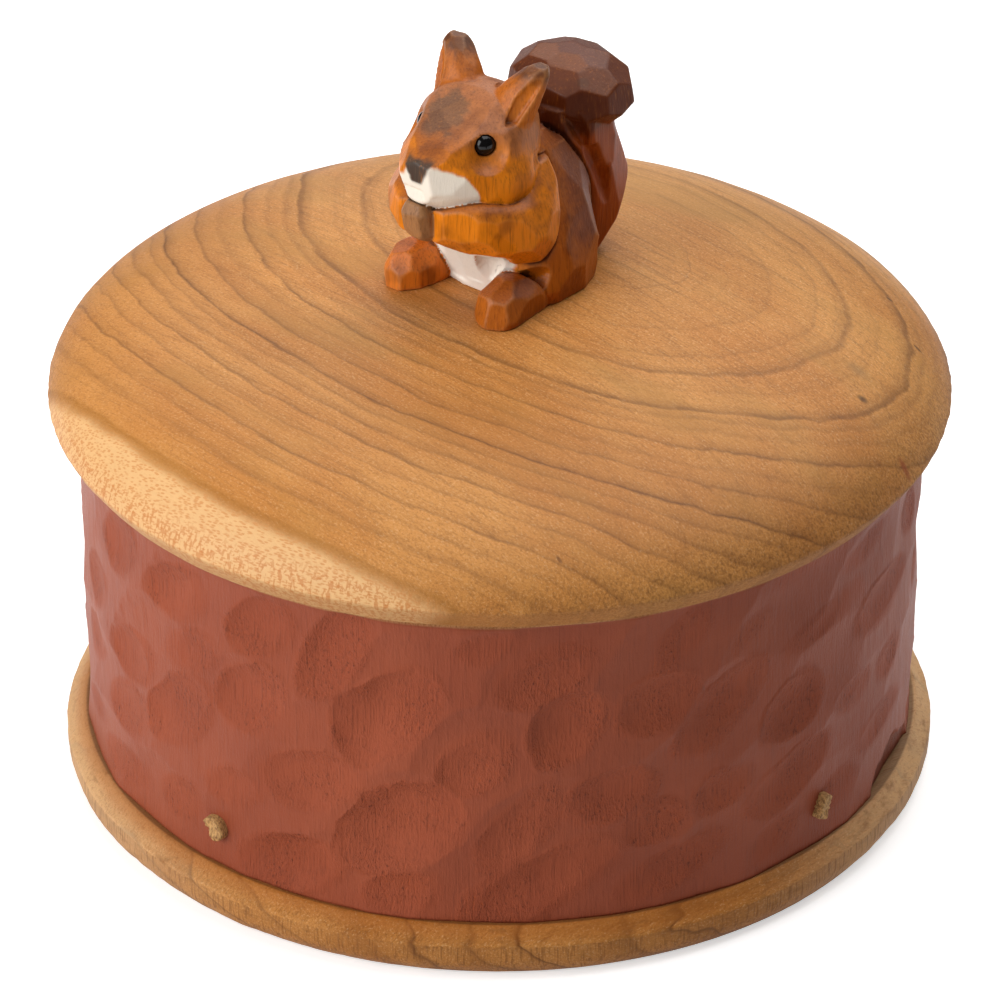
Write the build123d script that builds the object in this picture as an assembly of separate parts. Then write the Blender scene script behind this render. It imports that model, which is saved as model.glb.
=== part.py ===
"""Round wooden keepsake box with a carved wall and a whittled squirrel as the knob of its lift-off lid.

Millimetres, +Z up, origin at the middle of the underside. The squirrel looks along -Y, its left side is +X.
"""

import math
import os

from build123d import *

# Base: a board with a bevelled rim and a raised spigot that plugs the wall
BASE_RADIUS = 79.0
BASE_RIM_THICKNESS = 9.6
BASE_BEVEL_WIDTH = 3.2
BASE_BEVEL_HEIGHT = 2.6
BASE_ARRIS_ROUND = 0.8
BASE_UNDER_ROUND = 4.6
BASE_SPIGOT_HEIGHT = 12.5
BASE_SPIGOT_BEVEL = 1.0
BASE_GLUE_GAP = 0.1

# Wall: a hollowed ring of log, carved outside
WALL_RADIUS = 75.4
WALL_THICKNESS = 9.0
WALL_HEIGHT = 60.4
WALL_EDGE_BEVEL = 0.8

# Gouge scoops: the round of the gouge's edge, the tightest and flattest swings of its path, its start outside
# the wood, its travel as a share of a scoop's length, and the share of two lengths that keeps scoops apart
GOUGE_RADIUS = 16.0
GOUGE_TIGHTEST_SWING = 2.1 * GOUGE_RADIUS
GOUGE_FLATTEST_SWING = 110.0
GOUGE_CLEARANCE = 1.0
GOUGE_TRAVEL = 1.5
SCOOP_SPACING = 0.8
SCOOPS_DRAWN_HEIGHT = 60.4
SCOOPS_MIDDLE = -48.7
# Placed by hand: degrees round from that middle, height over the wall's foot, length, width and tilt
FRONT_SCOOPS = [
    (-62, 52, 19, 13.5, 25), (-48, 51, 20, 13.5, 25), (-33, 52, 20, 13.5, 30), (-22, 51, 26, 13.5, 58),
    (-1, 55, 19, 9, 15), (6, 49, 22, 12.5, 25), (25, 53, 19, 10, 50), (35, 50, 17, 8, 30), (43, 58, 20, 7, 8),
    (49, 45, 30, 9, 14), (58, 54, 22, 9, 5), (74, 50, 12, 11, 0),
    (-72, 37, 17, 12.5, 20), (-59, 31, 17, 13.5, 20), (-45, 41, 20, 11, 25), (-35, 37, 22, 14.5, 40),
    (-15, 40, 28, 17, 42), (-3, 32, 19, 13.5, 45), (9, 39, 20, 15.5, 45), (21, 41, 20, 13.5, 20),
    (31, 37, 28, 13.5, 38), (43, 31, 20, 14.5, 22), (64, 40, 28, 12.5, 3),
    (-74, 24, 17, 11, 15), (-61, 19, 22, 12.5, 15), (-48, 27, 26, 14.5, 38), (-38, 17, 17, 11, 10),
    (-26, 24, 24, 14.5, 20), (-13, 18, 30, 18, 36), (3, 19, 25, 12.5, 52), (15, 24, 21, 13.5, 12),
    (21, 17, 17, 11, 15), (31, 20, 17, 11, 10), (43, 17, 28, 12.5, 20), (56, 26, 18, 10, 2),
    (67, 25, 15, 10, 0), (64, 14, 26, 10, 2),
    (-75, 9, 17, 9, 10), (-63, 6, 25, 10, 8), (-48, 9, 16, 11, 20), (-29, 6, 25, 14.5, 16),
    (-13, 5, 19, 11, 12), (6, 8, 36, 13.5, 26), (24, 7, 28, 11, 20), (40, 6, 17, 10, 15), (53, 8, 16, 10, 5),
]
# On the far side: rows and columns, their steps, the limits of each size, and steps that spread cuts in them
BACK_ROWS = 4
BACK_COLUMNS = 11
BACK_START = 85.0
BACK_STEP = 17.2
BACK_FOOT = 7.4
BACK_ROW_STEP = 14.5
BACK_SHIFTS_ROUND = (-2.0, 2.0)
BACK_SHIFTS_UP = (-2.5, 2.5)
BACK_LENGTHS = (19.0, 28.0)
BACK_WIDTHS = (12.0, 15.5)
BACK_TILTS = (8.0, 42.0)
BACK_SPREADS = (0.618, 0.755, 0.570)

# Lid: a domed board, bevelled under its edge, with a spigot that drops into the wall
LID_RADIUS = 80.0
LID_RIM_HEIGHT = 5.0
LID_RIM_LEAN = 0.3
LID_ARRIS_ROUND = 0.8
LID_BEVEL_WIDTH = 2.8
LID_BEVEL_FOOT = 1.0
LID_EDGE_RADIUS = 74.0
LID_EDGE_HEIGHT = 12.1
LID_SHOULDER_RADIUS = 45.0
LID_SHOULDER_HEIGHT = 19.6
LID_CROWN_HEIGHT = 22.0
LID_SPIGOT_HEIGHT = 6.0
LID_SPIGOT_BEVEL = 1.2
LID_PLAY = 1.0

# Pegs: split dowels driven through the wall into the base's spigot
PEG_DIAMETER = 5.0
PEG_HEIGHT_OVER_RIM = 7.3
PEG_DEPTH_IN_SPIGOT = 14.0
PEG_PROUD = 0.9
PEG_END_SLANT = 12.0
PEG_POINT = 0.6
PEG_GAP = 0.05
PEG_SIDES = {"front": -90, "left": 0, "rear": 90, "right": 180}

# Squirrel: its place on the lid, its height, and the height at which its forms and eyes are drawn below
FIGURE_X = -4.8
FIGURE_Y = 6.0
FIGURE_HEIGHT = 44.2
FIGURE_DRAWN_HEIGHT = 44.2
FIGURE_ROOT = 3.0

# Eyes: black beads on pins, each in a dish in the side of the head
EYE_DIAMETER = 4.2
EYE_X = 6.3
EYE_Y = -12.0
EYE_Z = 32.2
EYE_TURN = 32.0
EYE_LIFT = 8.0
EYE_PIN_DIAMETER = 1.0
EYE_PIN_LENGTH = 4.0
EYE_GAP = 0.05
EYE_DISH_RADIUS = 4.4
EYE_DISH_BOTTOM = 0.7

# Screws: driven up through the lid into the squirrel
SCREW_DIAMETER = 3.5
SCREW_HEAD_DIAMETER = 7.0
SCREW_HEAD_HEIGHT = 2.6
SCREW_SLOT_WIDTH = 0.9
SCREW_SLOT_DEPTH = 1.0
SCREW_BITE = 13.0
SCREW_TIP = 4.0
SCREW_SINK = 0.4
SCREW_GAP = 0.1
SCREW_PLACES = {"front": 1.0, "rear": 11.0}

# Heights that the sizes above lead to
RIM_TOP = BASE_RIM_THICKNESS
LID_SEAT = RIM_TOP + WALL_HEIGHT
LID_TOP = LID_SEAT + LID_CROWN_HEIGHT
BORE_RADIUS = WALL_RADIUS - WALL_THICKNESS
BASE_SPIGOT_RADIUS = BORE_RADIUS - BASE_GLUE_GAP
LID_SPIGOT_RADIUS = BORE_RADIUS - LID_PLAY
PEG_HEIGHT = RIM_TOP + PEG_HEIGHT_OVER_RIM
FIGURE_SCALE = FIGURE_HEIGHT / FIGURE_DRAWN_HEIGHT


def turned(outline):
    """A solid turned about the Z axis from a closed outline of radius and height."""
    return revolve(Plane.XZ * make_face(outline), Axis.Z)


def make_base():
    bevel_foot = RIM_TOP - BASE_BEVEL_HEIGHT
    bevel_top = BASE_RADIUS - BASE_BEVEL_WIDTH
    side = Polyline((0, 0), (BASE_RADIUS, 0), (BASE_RADIUS, bevel_foot), (bevel_top, RIM_TOP), (0, RIM_TOP))
    rim = turned([side, Line((0, RIM_TOP), (0, 0))])
    rim = fillet(rim.edges().filter_by(GeomType.CIRCLE).group_by(Axis.Z)[0], BASE_UNDER_ROUND)
    arris = rim.edges().filter_by(GeomType.CIRCLE).filter_by_position(Axis.Z, bevel_foot, bevel_foot)
    rim = fillet(arris, BASE_ARRIS_ROUND)
    spigot = Pos(Z=RIM_TOP) * Cylinder(
        BASE_SPIGOT_RADIUS, BASE_SPIGOT_HEIGHT, align=(Align.CENTER, Align.CENTER, Align.MIN)
    )
    spigot = chamfer(spigot.edges().group_by(Axis.Z)[-1], BASE_SPIGOT_BEVEL)
    return rim + spigot - [peg_bore(angle) for angle in PEG_SIDES.values()]


def make_wall():
    ring = turned(
        Polyline(
            (BORE_RADIUS, RIM_TOP),
            (WALL_RADIUS, RIM_TOP),
            (WALL_RADIUS, LID_SEAT),
            (BORE_RADIUS, LID_SEAT),
            close=True,
        )
    )
    ring = chamfer(ring.edges().filter_by(GeomType.CIRCLE).group_by(Axis.Z)[-1], WALL_EDGE_BEVEL)
    ring -= [peg_bore(angle) for angle in PEG_SIDES.values()]
    for cuts in rounds_of_cuts():
        ring -= [gouge_cut(*scoop) for scoop in cuts]
        ring = ring.fix()
    return ring


def between(limits, share):
    return limits[0] + share * (limits[1] - limits[0])


def back_scoops():
    """An even pattern of scoops for the far side, each a little different from the next."""
    scoops = []
    for count in range(BACK_ROWS * BACK_COLUMNS):
        row, column = divmod(count, BACK_COLUMNS)
        a, b, c = ((count + 1) * spread % 1 for spread in BACK_SPREADS)
        turn = BACK_START + BACK_STEP * (column + row % 2 / 2) + between(BACK_SHIFTS_ROUND, a)
        height = BACK_FOOT + BACK_ROW_STEP * row + between(BACK_SHIFTS_UP, b)
        scoops.append((turn, height, between(BACK_LENGTHS, c), between(BACK_WIDTHS, a), between(BACK_TILTS, b)))
    return scoops


def apart(first, second):
    """Whether two scoops lie too far from each other to touch."""
    swing = math.radians((first[0] - second[0] + 180) % 360 - 180) * WALL_RADIUS
    return math.hypot(swing, first[1] - second[1]) > SCOOP_SPACING * (first[2] + second[2])


def rounds_of_cuts():
    """All scoops, in rounds of cuts that lie clear of one another."""
    rounds = []
    for scoop in FRONT_SCOOPS + back_scoops():
        for cuts in rounds:
            if all(apart(scoop, other) for other in cuts):
                cuts.append(scoop)
                break
        else:
            rounds.append([scoop])
    return rounds


def gouge_cut(turn, height, length, width, tilt):
    """A lens swung round an axis outside the wall, as a gouge swings through the wood."""
    depth = width * width / (8 * GOUGE_RADIUS)
    lean = math.radians(tilt)
    edge = 1 / (1 / GOUGE_RADIUS - math.sin(lean) ** 2 / WALL_RADIUS)
    bend = 8 * depth / length ** 2 - math.cos(lean) ** 2 / WALL_RADIUS
    swing = max(GOUGE_TIGHTEST_SWING * edge / GOUGE_RADIUS, 1 / max(bend, 1 / GOUGE_FLATTEST_SWING))
    thick = depth + GOUGE_CLEARANCE
    half = math.sqrt(2 * edge * thick - thick * thick)
    low, high = (thick - swing, -half), (thick - swing, half)
    arc = math.degrees(GOUGE_TRAVEL * length / swing)
    blade = make_face([ThreePointArc(low, (-swing, 0), high), Line(high, low)])
    lens = revolve(Plane.XZ * blade, Axis.Z, arc)
    level = RIM_TOP + height * WALL_HEIGHT / SCOOPS_DRAWN_HEIGHT
    place = Rot(Z=SCOOPS_MIDDLE + turn) * Pos(X=WALL_RADIUS - depth + swing, Z=level) * Rot(X=tilt)
    return place * Rot(Z=-arc / 2) * lens


def radial(angle):
    """A place on the wall's axis at peg height whose Z axis points out at that angle."""
    return Pos(Z=PEG_HEIGHT) * Rot(Z=angle) * Rot(Y=90)


def peg_bore(angle):
    start = BASE_SPIGOT_RADIUS - PEG_DEPTH_IN_SPIGOT
    length = WALL_RADIUS + PEG_PROUD - start
    hole = Cylinder(PEG_DIAMETER / 2 + PEG_GAP, length, align=(Align.CENTER, Align.CENTER, Align.MIN))
    return radial(angle) * Pos(Z=start - PEG_GAP) * hole


def make_peg(angle):
    start = BASE_SPIGOT_RADIUS - PEG_DEPTH_IN_SPIGOT
    length = WALL_RADIUS + PEG_PROUD - start
    peg = Cylinder(PEG_DIAMETER / 2, length, align=(Align.CENTER, Align.CENTER, Align.MIN))
    peg = chamfer(peg.edges().group_by(Axis.Z)[0], PEG_POINT)
    cut = Pos(Z=length) * Rot(Y=PEG_END_SLANT) * Box(
        4 * PEG_DIAMETER, 4 * PEG_DIAMETER, 2 * PEG_DIAMETER, align=(Align.CENTER, Align.CENTER, Align.MIN)
    )
    return radial(angle) * Pos(Z=start) * (peg - cut)


def lid_blank():
    """The lid before its screw holes are drilled."""
    seat = LID_SEAT
    rim = (LID_RADIUS, seat + LID_RIM_HEIGHT)
    edge = (LID_EDGE_RADIUS, seat + LID_EDGE_HEIGHT)
    shoulder = (LID_SHOULDER_RADIUS, seat + LID_SHOULDER_HEIGHT)
    crown = (0, seat + LID_CROWN_HEIGHT)
    foot = seat - LID_SPIGOT_HEIGHT
    top = Spline(crown, shoulder, edge, rim, tangents=((1, 0), (LID_RIM_LEAN, -1)))
    inside = Polyline(
        rim,
        (LID_RADIUS - LID_BEVEL_WIDTH, seat + LID_BEVEL_FOOT),
        (WALL_RADIUS, seat),
        (LID_SPIGOT_RADIUS, seat),
        (LID_SPIGOT_RADIUS, foot + LID_SPIGOT_BEVEL),
        (LID_SPIGOT_RADIUS - LID_SPIGOT_BEVEL, foot),
        (0, foot),
        crown,
    )
    blank = turned([top, inside])
    arris = blank.edges().filter_by(GeomType.CIRCLE).filter_by_position(Axis.Z, rim[1], rim[1])
    return fillet(arris, LID_ARRIS_ROUND)


def screw_place(offset):
    """A place on the lid's underside below the squirrel, with Z pointing up."""
    return Pos(FIGURE_X, FIGURE_Y + offset, LID_SEAT - LID_SPIGOT_HEIGHT)


def screw_form(gap=0.0):
    """A countersunk screw pointing up from the lid's underside, or its clearance with that gap round it."""
    length = LID_SPIGOT_HEIGHT + LID_CROWN_HEIGHT + SCREW_BITE
    head, shank = SCREW_HEAD_DIAMETER / 2 + gap, SCREW_DIAMETER / 2 + gap
    return turned(
        Polyline(
            (0, SCREW_SINK),
            (head, SCREW_SINK),
            (shank, SCREW_SINK + SCREW_HEAD_HEIGHT),
            (shank, length - SCREW_TIP),
            (0, length + gap),
            close=True,
        )
    )


def screw_hole(offset):
    mouth = Cylinder(SCREW_HEAD_DIAMETER / 2 + SCREW_GAP, 2 * SCREW_SINK)
    return screw_place(offset) * (screw_form(SCREW_GAP) + mouth)


def make_screw(offset):
    slot = Pos(Z=SCREW_SINK) * Box(2 * SCREW_HEAD_DIAMETER, SCREW_SLOT_WIDTH, 2 * SCREW_SLOT_DEPTH)
    return screw_place(offset) * (screw_form() - slot)


def make_lid():
    return lid_blank() - [screw_hole(offset) for offset in SCREW_PLACES.values()]


def drawn(place):
    """A place given at the drawn height, at the squirrel's own height."""
    return tuple(FIGURE_SCALE * value for value in place)


def ring(centre, half_width, half_height, pitch=0.0, sides=8):
    """A many-sided section about a drawn centre. It faces up at pitch 0 and along -Y at pitch 90."""
    tilt, step = math.radians(pitch), 2 * math.pi / sides
    corners = [
        drawn((half_width * math.cos((k + 0.5) * step), half_height * math.sin((k + 0.5) * step)))
        for k in range(sides)
    ]
    section = Plane(origin=drawn(centre), x_dir=(1, 0, 0), z_dir=(0, -math.sin(tilt), math.cos(tilt)))
    return section * Polygon(*corners, align=None)


def whittled(*sections):
    """A form with knife-flat sides through those sections."""
    return loft(sections, ruled=True)


def torso():
    return whittled(
        ring((0, 4.0, -FIGURE_ROOT), 11.0, 11.5),
        ring((0, 3.0, 3.0), 12.5, 12.5),
        ring((0, 0.5, 12.0), 13.0, 14.5),
        ring((0, -1.0, 20.0), 12.5, 13.5),
        ring((0, -2.0, 27.0), 10.5, 11.0),
        ring((0, -4.0, 32.0), 7.0, 6.0),
    )


def haunch():
    return whittled(
        ring((8.6, 2.4, -FIGURE_ROOT), 6.0, 9.5),
        ring((9.2, 1.6, 4.0), 7.0, 11.6),
        ring((8.8, 2.2, 11.0), 7.0, 11.6),
        ring((7.4, 3.2, 19.0), 5.6, 9.0),
        ring((6.0, 2.5, 26.0), 3.0, 5.0),
    )


def foot():
    return whittled(
        ring((9.4, -3.0, 1.6), 4.8, 4.6, pitch=90),
        ring((9.6, -9.0, 1.2), 5.2, 4.4, pitch=90),
        ring((9.6, -13.0, 0.8), 4.8, 3.6, pitch=90),
        ring((9.6, -15.8, 0.2), 3.4, 2.2, pitch=90),
    )


def upper_arm():
    return whittled(
        ring((11.2, -6.4, 10.0), 3.0, 3.2),
        ring((11.4, -6.4, 13.5), 4.3, 4.6),
        ring((11.0, -5.0, 18.0), 4.4, 5.0),
        ring((10.0, -3.2, 23.0), 3.8, 4.6),
        ring((9.0, -2.0, 26.5), 2.4, 3.0),
    )


def forearm():
    return whittled(
        ring((11.6, -2.6, 12.8), 2.6, 3.2, pitch=90),
        ring((11.8, -5.0, 13.0), 3.9, 4.5, pitch=90),
        ring((11.0, -9.0, 14.0), 4.6, 5.2, pitch=90),
        ring((8.6, -13.5, 15.4), 4.7, 5.2, pitch=90),
        ring((5.2, -18.0, 16.8), 4.3, 4.8, pitch=90),
        ring((3.4, -20.8, 17.4), 3.0, 3.6, pitch=90),
    )


def nut():
    return whittled(
        ring((-0.6, -19.0, 14.4), 1.9, 1.9, pitch=10, sides=6),
        ring((-0.6, -19.8, 16.2), 3.1, 3.1, pitch=10, sides=6),
        ring((-0.6, -20.6, 20.4), 3.1, 3.1, pitch=10, sides=6),
        ring((-0.6, -20.9, 22.4), 2.0, 2.0, pitch=10, sides=6),
    )


def head():
    return whittled(
        ring((0, 3.5, 30.2), 6.0, 5.2, pitch=90, sides=10),
        ring((0, -1.0, 29.9), 10.0, 8.9, pitch=90, sides=10),
        ring((0, -8.5, 28.8), 11.8, 10.2, pitch=90, sides=10),
        ring((0, -14.5, 27.6), 10.4, 8.4, pitch=90, sides=10),
        ring((0, -19.2, 26.9), 7.4, 6.5, pitch=90, sides=10),
        ring((0, -22.4, 26.8), 4.8, 4.6, pitch=90, sides=10),
    )


def ear():
    return whittled(
        ring((5.1, -5.2, 33.0), 4.9, 4.2),
        ring((6.0, -4.1, 36.5), 4.8, 3.9),
        ring((7.5, -2.7, 40.0), 4.4, 3.3),
        ring((8.9, -1.4, 42.6), 3.5, 2.6),
        ring((9.6, -0.8, 44.2), 2.0, 1.6),
    )


def ear_hollow():
    return whittled(
        ring((8.8, -7.6, 35.5), 1.2, 1.2, sides=4),
        ring((10.2, -6.0, 39.0), 1.9, 1.9, sides=4),
        ring((11.4, -4.4, 42.0), 1.8, 1.8, sides=4),
        ring((12.0, -3.4, 45.0), 1.0, 1.0, sides=4),
    )


def tail():
    return whittled(
        ring((0, 13.0, -FIGURE_ROOT), 7.0, 6.0, sides=10),
        ring((0, 16.0, 3.0), 9.0, 7.2, sides=10),
        ring((0, 19.8, 13.0), 9.6, 8.2, sides=10),
        ring((0, 16.4, 25.4), 9.8, 6.8, sides=10),
        ring((0, 18.8, 30.2), 12.0, 9.6, sides=10),
        ring((0, 18.8, 34.6), 10.2, 7.2, sides=10),
        ring((0, 18.0, 37.4), 5.0, 3.4, sides=10),
    )


def eye_place(side):
    """The middle of an eye, the left for side 1 and the right for side -1, with Z looking out of the head."""
    turn = 90 - EYE_TURN
    return Pos(*drawn((side * EYE_X, EYE_Y, EYE_Z))) * Rot(Z=-90 + side * turn) * Rot(Y=90 - EYE_LIFT)


def eye_solid(side, gap=0.0):
    bead = Sphere(EYE_DIAMETER / 2 + gap)
    pin = Cylinder(
        EYE_PIN_DIAMETER / 2 + gap,
        EYE_DIAMETER / 2 + EYE_PIN_LENGTH + gap,
        align=(Align.CENTER, Align.CENTER, Align.MAX),
    )
    return eye_place(side) * (bead + pin)


def eye_dish(side):
    return eye_place(side) * Pos(Z=EYE_DISH_BOTTOM + EYE_DISH_RADIUS) * Sphere(EYE_DISH_RADIUS)


def on_lid(solid):
    """Moves a form of the squirrel from its own frame to its place on the lid's crown."""
    return Pos(FIGURE_X, FIGURE_Y, LID_TOP) * solid


def make_squirrel(lid):
    pairs = [haunch(), foot(), upper_arm(), forearm(), ear()]
    forms = [torso(), head(), tail(), nut()] + pairs + [mirror(form, about=Plane.YZ) for form in pairs]
    figure = forms[0].fuse(*forms[1:])
    figure -= [ear_hollow(), mirror(ear_hollow(), about=Plane.YZ)]
    for side in (1, -1):
        figure -= [eye_dish(side), eye_solid(side, EYE_GAP)]
    figure = on_lid(figure) - lid
    return figure - [screw_hole(offset) for offset in SCREW_PLACES.values()]


def main():
    lid = make_lid()
    nodes = {"base": make_base(), "wall": make_wall(), "lid": lid, "squirrel": make_squirrel(lid_blank())}
    for name, angle in PEG_SIDES.items():
        nodes[f"peg_{name}"] = make_peg(angle)
    for name, side in {"left": 1, "right": -1}.items():
        nodes[f"eye_{name}"] = on_lid(eye_solid(side))
    for name, offset in SCREW_PLACES.items():
        nodes[f"squirrel_screw_{name}"] = make_screw(offset)
    os.makedirs("parts", exist_ok=True)
    for name, solid in nodes.items():
        export_step(solid, f"parts/{name}.step")


if __name__ == "__main__":
    main()
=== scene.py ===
"""The looks of a carved wooden box with a squirrel on its lid: oiled wood, red paint and a whittled figure.

Shapes are worked out in millimetres and stored in metres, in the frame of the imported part.
"""

import itertools
import math

import bmesh
import bpy
import numpy as np
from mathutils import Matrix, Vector


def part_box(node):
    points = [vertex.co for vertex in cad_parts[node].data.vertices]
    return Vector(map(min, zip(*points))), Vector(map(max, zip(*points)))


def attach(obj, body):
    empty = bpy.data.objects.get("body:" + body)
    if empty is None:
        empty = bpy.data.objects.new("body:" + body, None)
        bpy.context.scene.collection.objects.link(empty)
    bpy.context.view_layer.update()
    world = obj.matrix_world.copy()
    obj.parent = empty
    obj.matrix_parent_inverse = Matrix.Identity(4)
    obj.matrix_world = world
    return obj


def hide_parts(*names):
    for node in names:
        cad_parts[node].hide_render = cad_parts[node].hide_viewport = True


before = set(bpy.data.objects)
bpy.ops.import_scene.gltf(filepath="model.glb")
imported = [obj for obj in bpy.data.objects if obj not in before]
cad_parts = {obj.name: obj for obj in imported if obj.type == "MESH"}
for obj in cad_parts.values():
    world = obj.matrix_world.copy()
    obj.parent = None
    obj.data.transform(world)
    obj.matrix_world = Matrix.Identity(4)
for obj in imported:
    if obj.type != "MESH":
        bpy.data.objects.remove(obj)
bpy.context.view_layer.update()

MM = 0.001

# Where the photograph was taken from, as seen from the box
VIEW_AZIMUTH = 41.3
VIEW_ELEVATION = 30.8
VIEW_DISTANCE = 1038.0
VIEW_TARGET_HEIGHT = 49.6
LENS = 208.4
SENSOR = 36.0
FACING_CAMERA = VIEW_AZIMUTH - 90

# Sizes of the solids that their boxes don't give
WALL_THICKNESS = 9.0
LID_PLAY = 1.0
LID_SPIGOT_BEVEL = 1.2
LID_BEVEL_WIDTH = 2.8
LID_BEVEL_FOOT = 1.0
BASE_BEVEL_WIDTH = 3.2
BASE_BEVEL_HEIGHT = 2.6
BASE_UNDER_ROUND = 4.6
BASE_GLUE_GAP = 0.1
BASE_SPIGOT_BEVEL = 1.0
PEG_DIAMETER = 5.0
SCREW_HEAD_RADIUS = 3.6
SCREW_SHANK_RADIUS = 1.85
SCREW_HEAD_HEIGHT = 2.6
SCREW_SINK = 0.4
FIGURE_ORIGIN = (-4.8, 6.0)


def size_of(node):
    """Lowest and highest corners of a solid in millimetres."""
    low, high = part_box(node)
    return np.array(low) / MM, np.array(high) / MM


WALL_LOW, WALL_HIGH = size_of("wall")
LID_LOW, LID_HIGH = size_of("lid")
BASE_LOW, BASE_HIGH = size_of("base")
WALL_RADIUS = WALL_HIGH[0]
BORE_RADIUS = WALL_RADIUS - WALL_THICKNESS
LID_SEAT = WALL_HIGH[2]
RIM_TOP = WALL_LOW[2]
LID_CROWN = LID_HIGH[2]


# Shared shape tools
def noise(points, cell, seed):
    """Smooth noise between -1 and 1 that changes over about one cell."""
    grid = np.asarray(points, float) / cell
    corner = np.floor(grid).astype(np.int64)
    share = grid - corner
    share = share * share * (3 - 2 * share)
    total = np.zeros(len(grid))
    for step in itertools.product((0, 1), repeat=3):
        c = corner + np.array(step)
        mixed = (c[:, 0] * 73856093) ^ (c[:, 1] * 19349663) ^ (c[:, 2] * 83492791) ^ (seed * 40503)
        mixed = (mixed ^ (mixed >> 13)) * 1274126177
        mixed = mixed ^ (mixed >> 16)
        weight = np.prod(np.where(step, share, 1 - share), axis=1)
        total += weight * ((mixed & 0xFFFF) / 32767.5 - 1)
    return total


def layered(points, *layers):
    """A sum of noises, each with its strength, cell, seed and how much the points are squeezed upright."""
    total = 0
    for strength, cell, seed, squeeze in layers:
        total = total + strength * noise(points * (1, 1, squeeze), cell, seed)
    return total


def smoothstep(low, high, values):
    share = np.clip((values - low) / (high - low), 0, 1)
    return share * share * (3 - 2 * share)


def add_mesh(name, points, faces, attributes=None):
    """An object from points in millimetres, with smooth faces and a value or colour for each point."""
    mesh = bpy.data.meshes.new(name)
    mesh.from_pydata((np.asarray(points) * MM).tolist(), [], [list(f) for f in faces])
    for key, values in (attributes or {}).items():
        values = np.asarray(values, np.float32)
        if values.ndim == 1:
            mesh.attributes.new(key, "FLOAT", "POINT").data.foreach_set("value", values)
        else:
            mesh.attributes.new(key, "FLOAT_COLOR", "POINT").data.foreach_set("color", values.ravel())
    mesh.validate()
    mesh.shade_smooth()
    made = bpy.data.objects.new(name, mesh)
    bpy.context.scene.collection.objects.link(made)
    return made


def ring_grid(rows, columns, closed=False):
    """Quads of a grid of rows round an axis, with the last row joined to the first if closed."""
    faces = []
    for row in range(rows if closed else rows - 1):
        a, b = row * columns, (row + 1) % rows * columns
        faces += [(a + c, a + (c + 1) % columns, b + (c + 1) % columns, b + c) for c in range(columns)]
    return faces


def turned_points(profile, columns):
    """Angles, radii and heights of a profile turned round Z, row after row."""
    angle = np.tile(np.arange(columns) * 2 * np.pi / columns, len(profile))
    radius = np.repeat([p[0] for p in profile], columns)
    height = np.repeat([p[1] for p in profile], columns)
    return angle, radius, height


def spread(start, end, count):
    """Points along a straight stretch of a profile, without its end."""
    return [tuple(p) for p in np.linspace(start, end, count, endpoint=False)]


def arc(centre, radius, start, end, count):
    """Points along an arc of a profile, without its end, with angles in degrees."""
    turns = np.radians(np.linspace(start, end, count, endpoint=False))
    return [(centre[0] + radius * math.cos(t), centre[1] + radius * math.sin(t)) for t in turns]


def polar(angle, radius, height):
    return np.stack([radius * np.cos(angle), radius * np.sin(angle), height], 1)


def around(angle, turn):
    """Angles from a direction given in degrees round from the camera, between -pi and pi."""
    return (angle - math.radians(FACING_CAMERA + turn) + np.pi) % (2 * np.pi) - np.pi


def with_poles(points, faces, columns, first, last):
    """Closes a turned grid with a point in the middle of its first and last rows."""
    rows = len(points) // columns
    start, end = len(points), len(points) + 1
    faces = faces + [(start, (c + 1) % columns, c) for c in range(columns)]
    base = (rows - 1) * columns
    faces += [(end, base + c, base + (c + 1) % columns) for c in range(columns)]
    return np.vstack([points, first, last]), faces


# Materials
def srgb(*values):
    """A colour in linear light from 0 to 255 as a screen shows it."""
    share = np.array(values) / 255
    linear = np.where(share <= 0.04045, share / 12.92, ((share + 0.055) / 1.055) ** 2.4)
    return (*linear.tolist(), 1.0)


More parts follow.
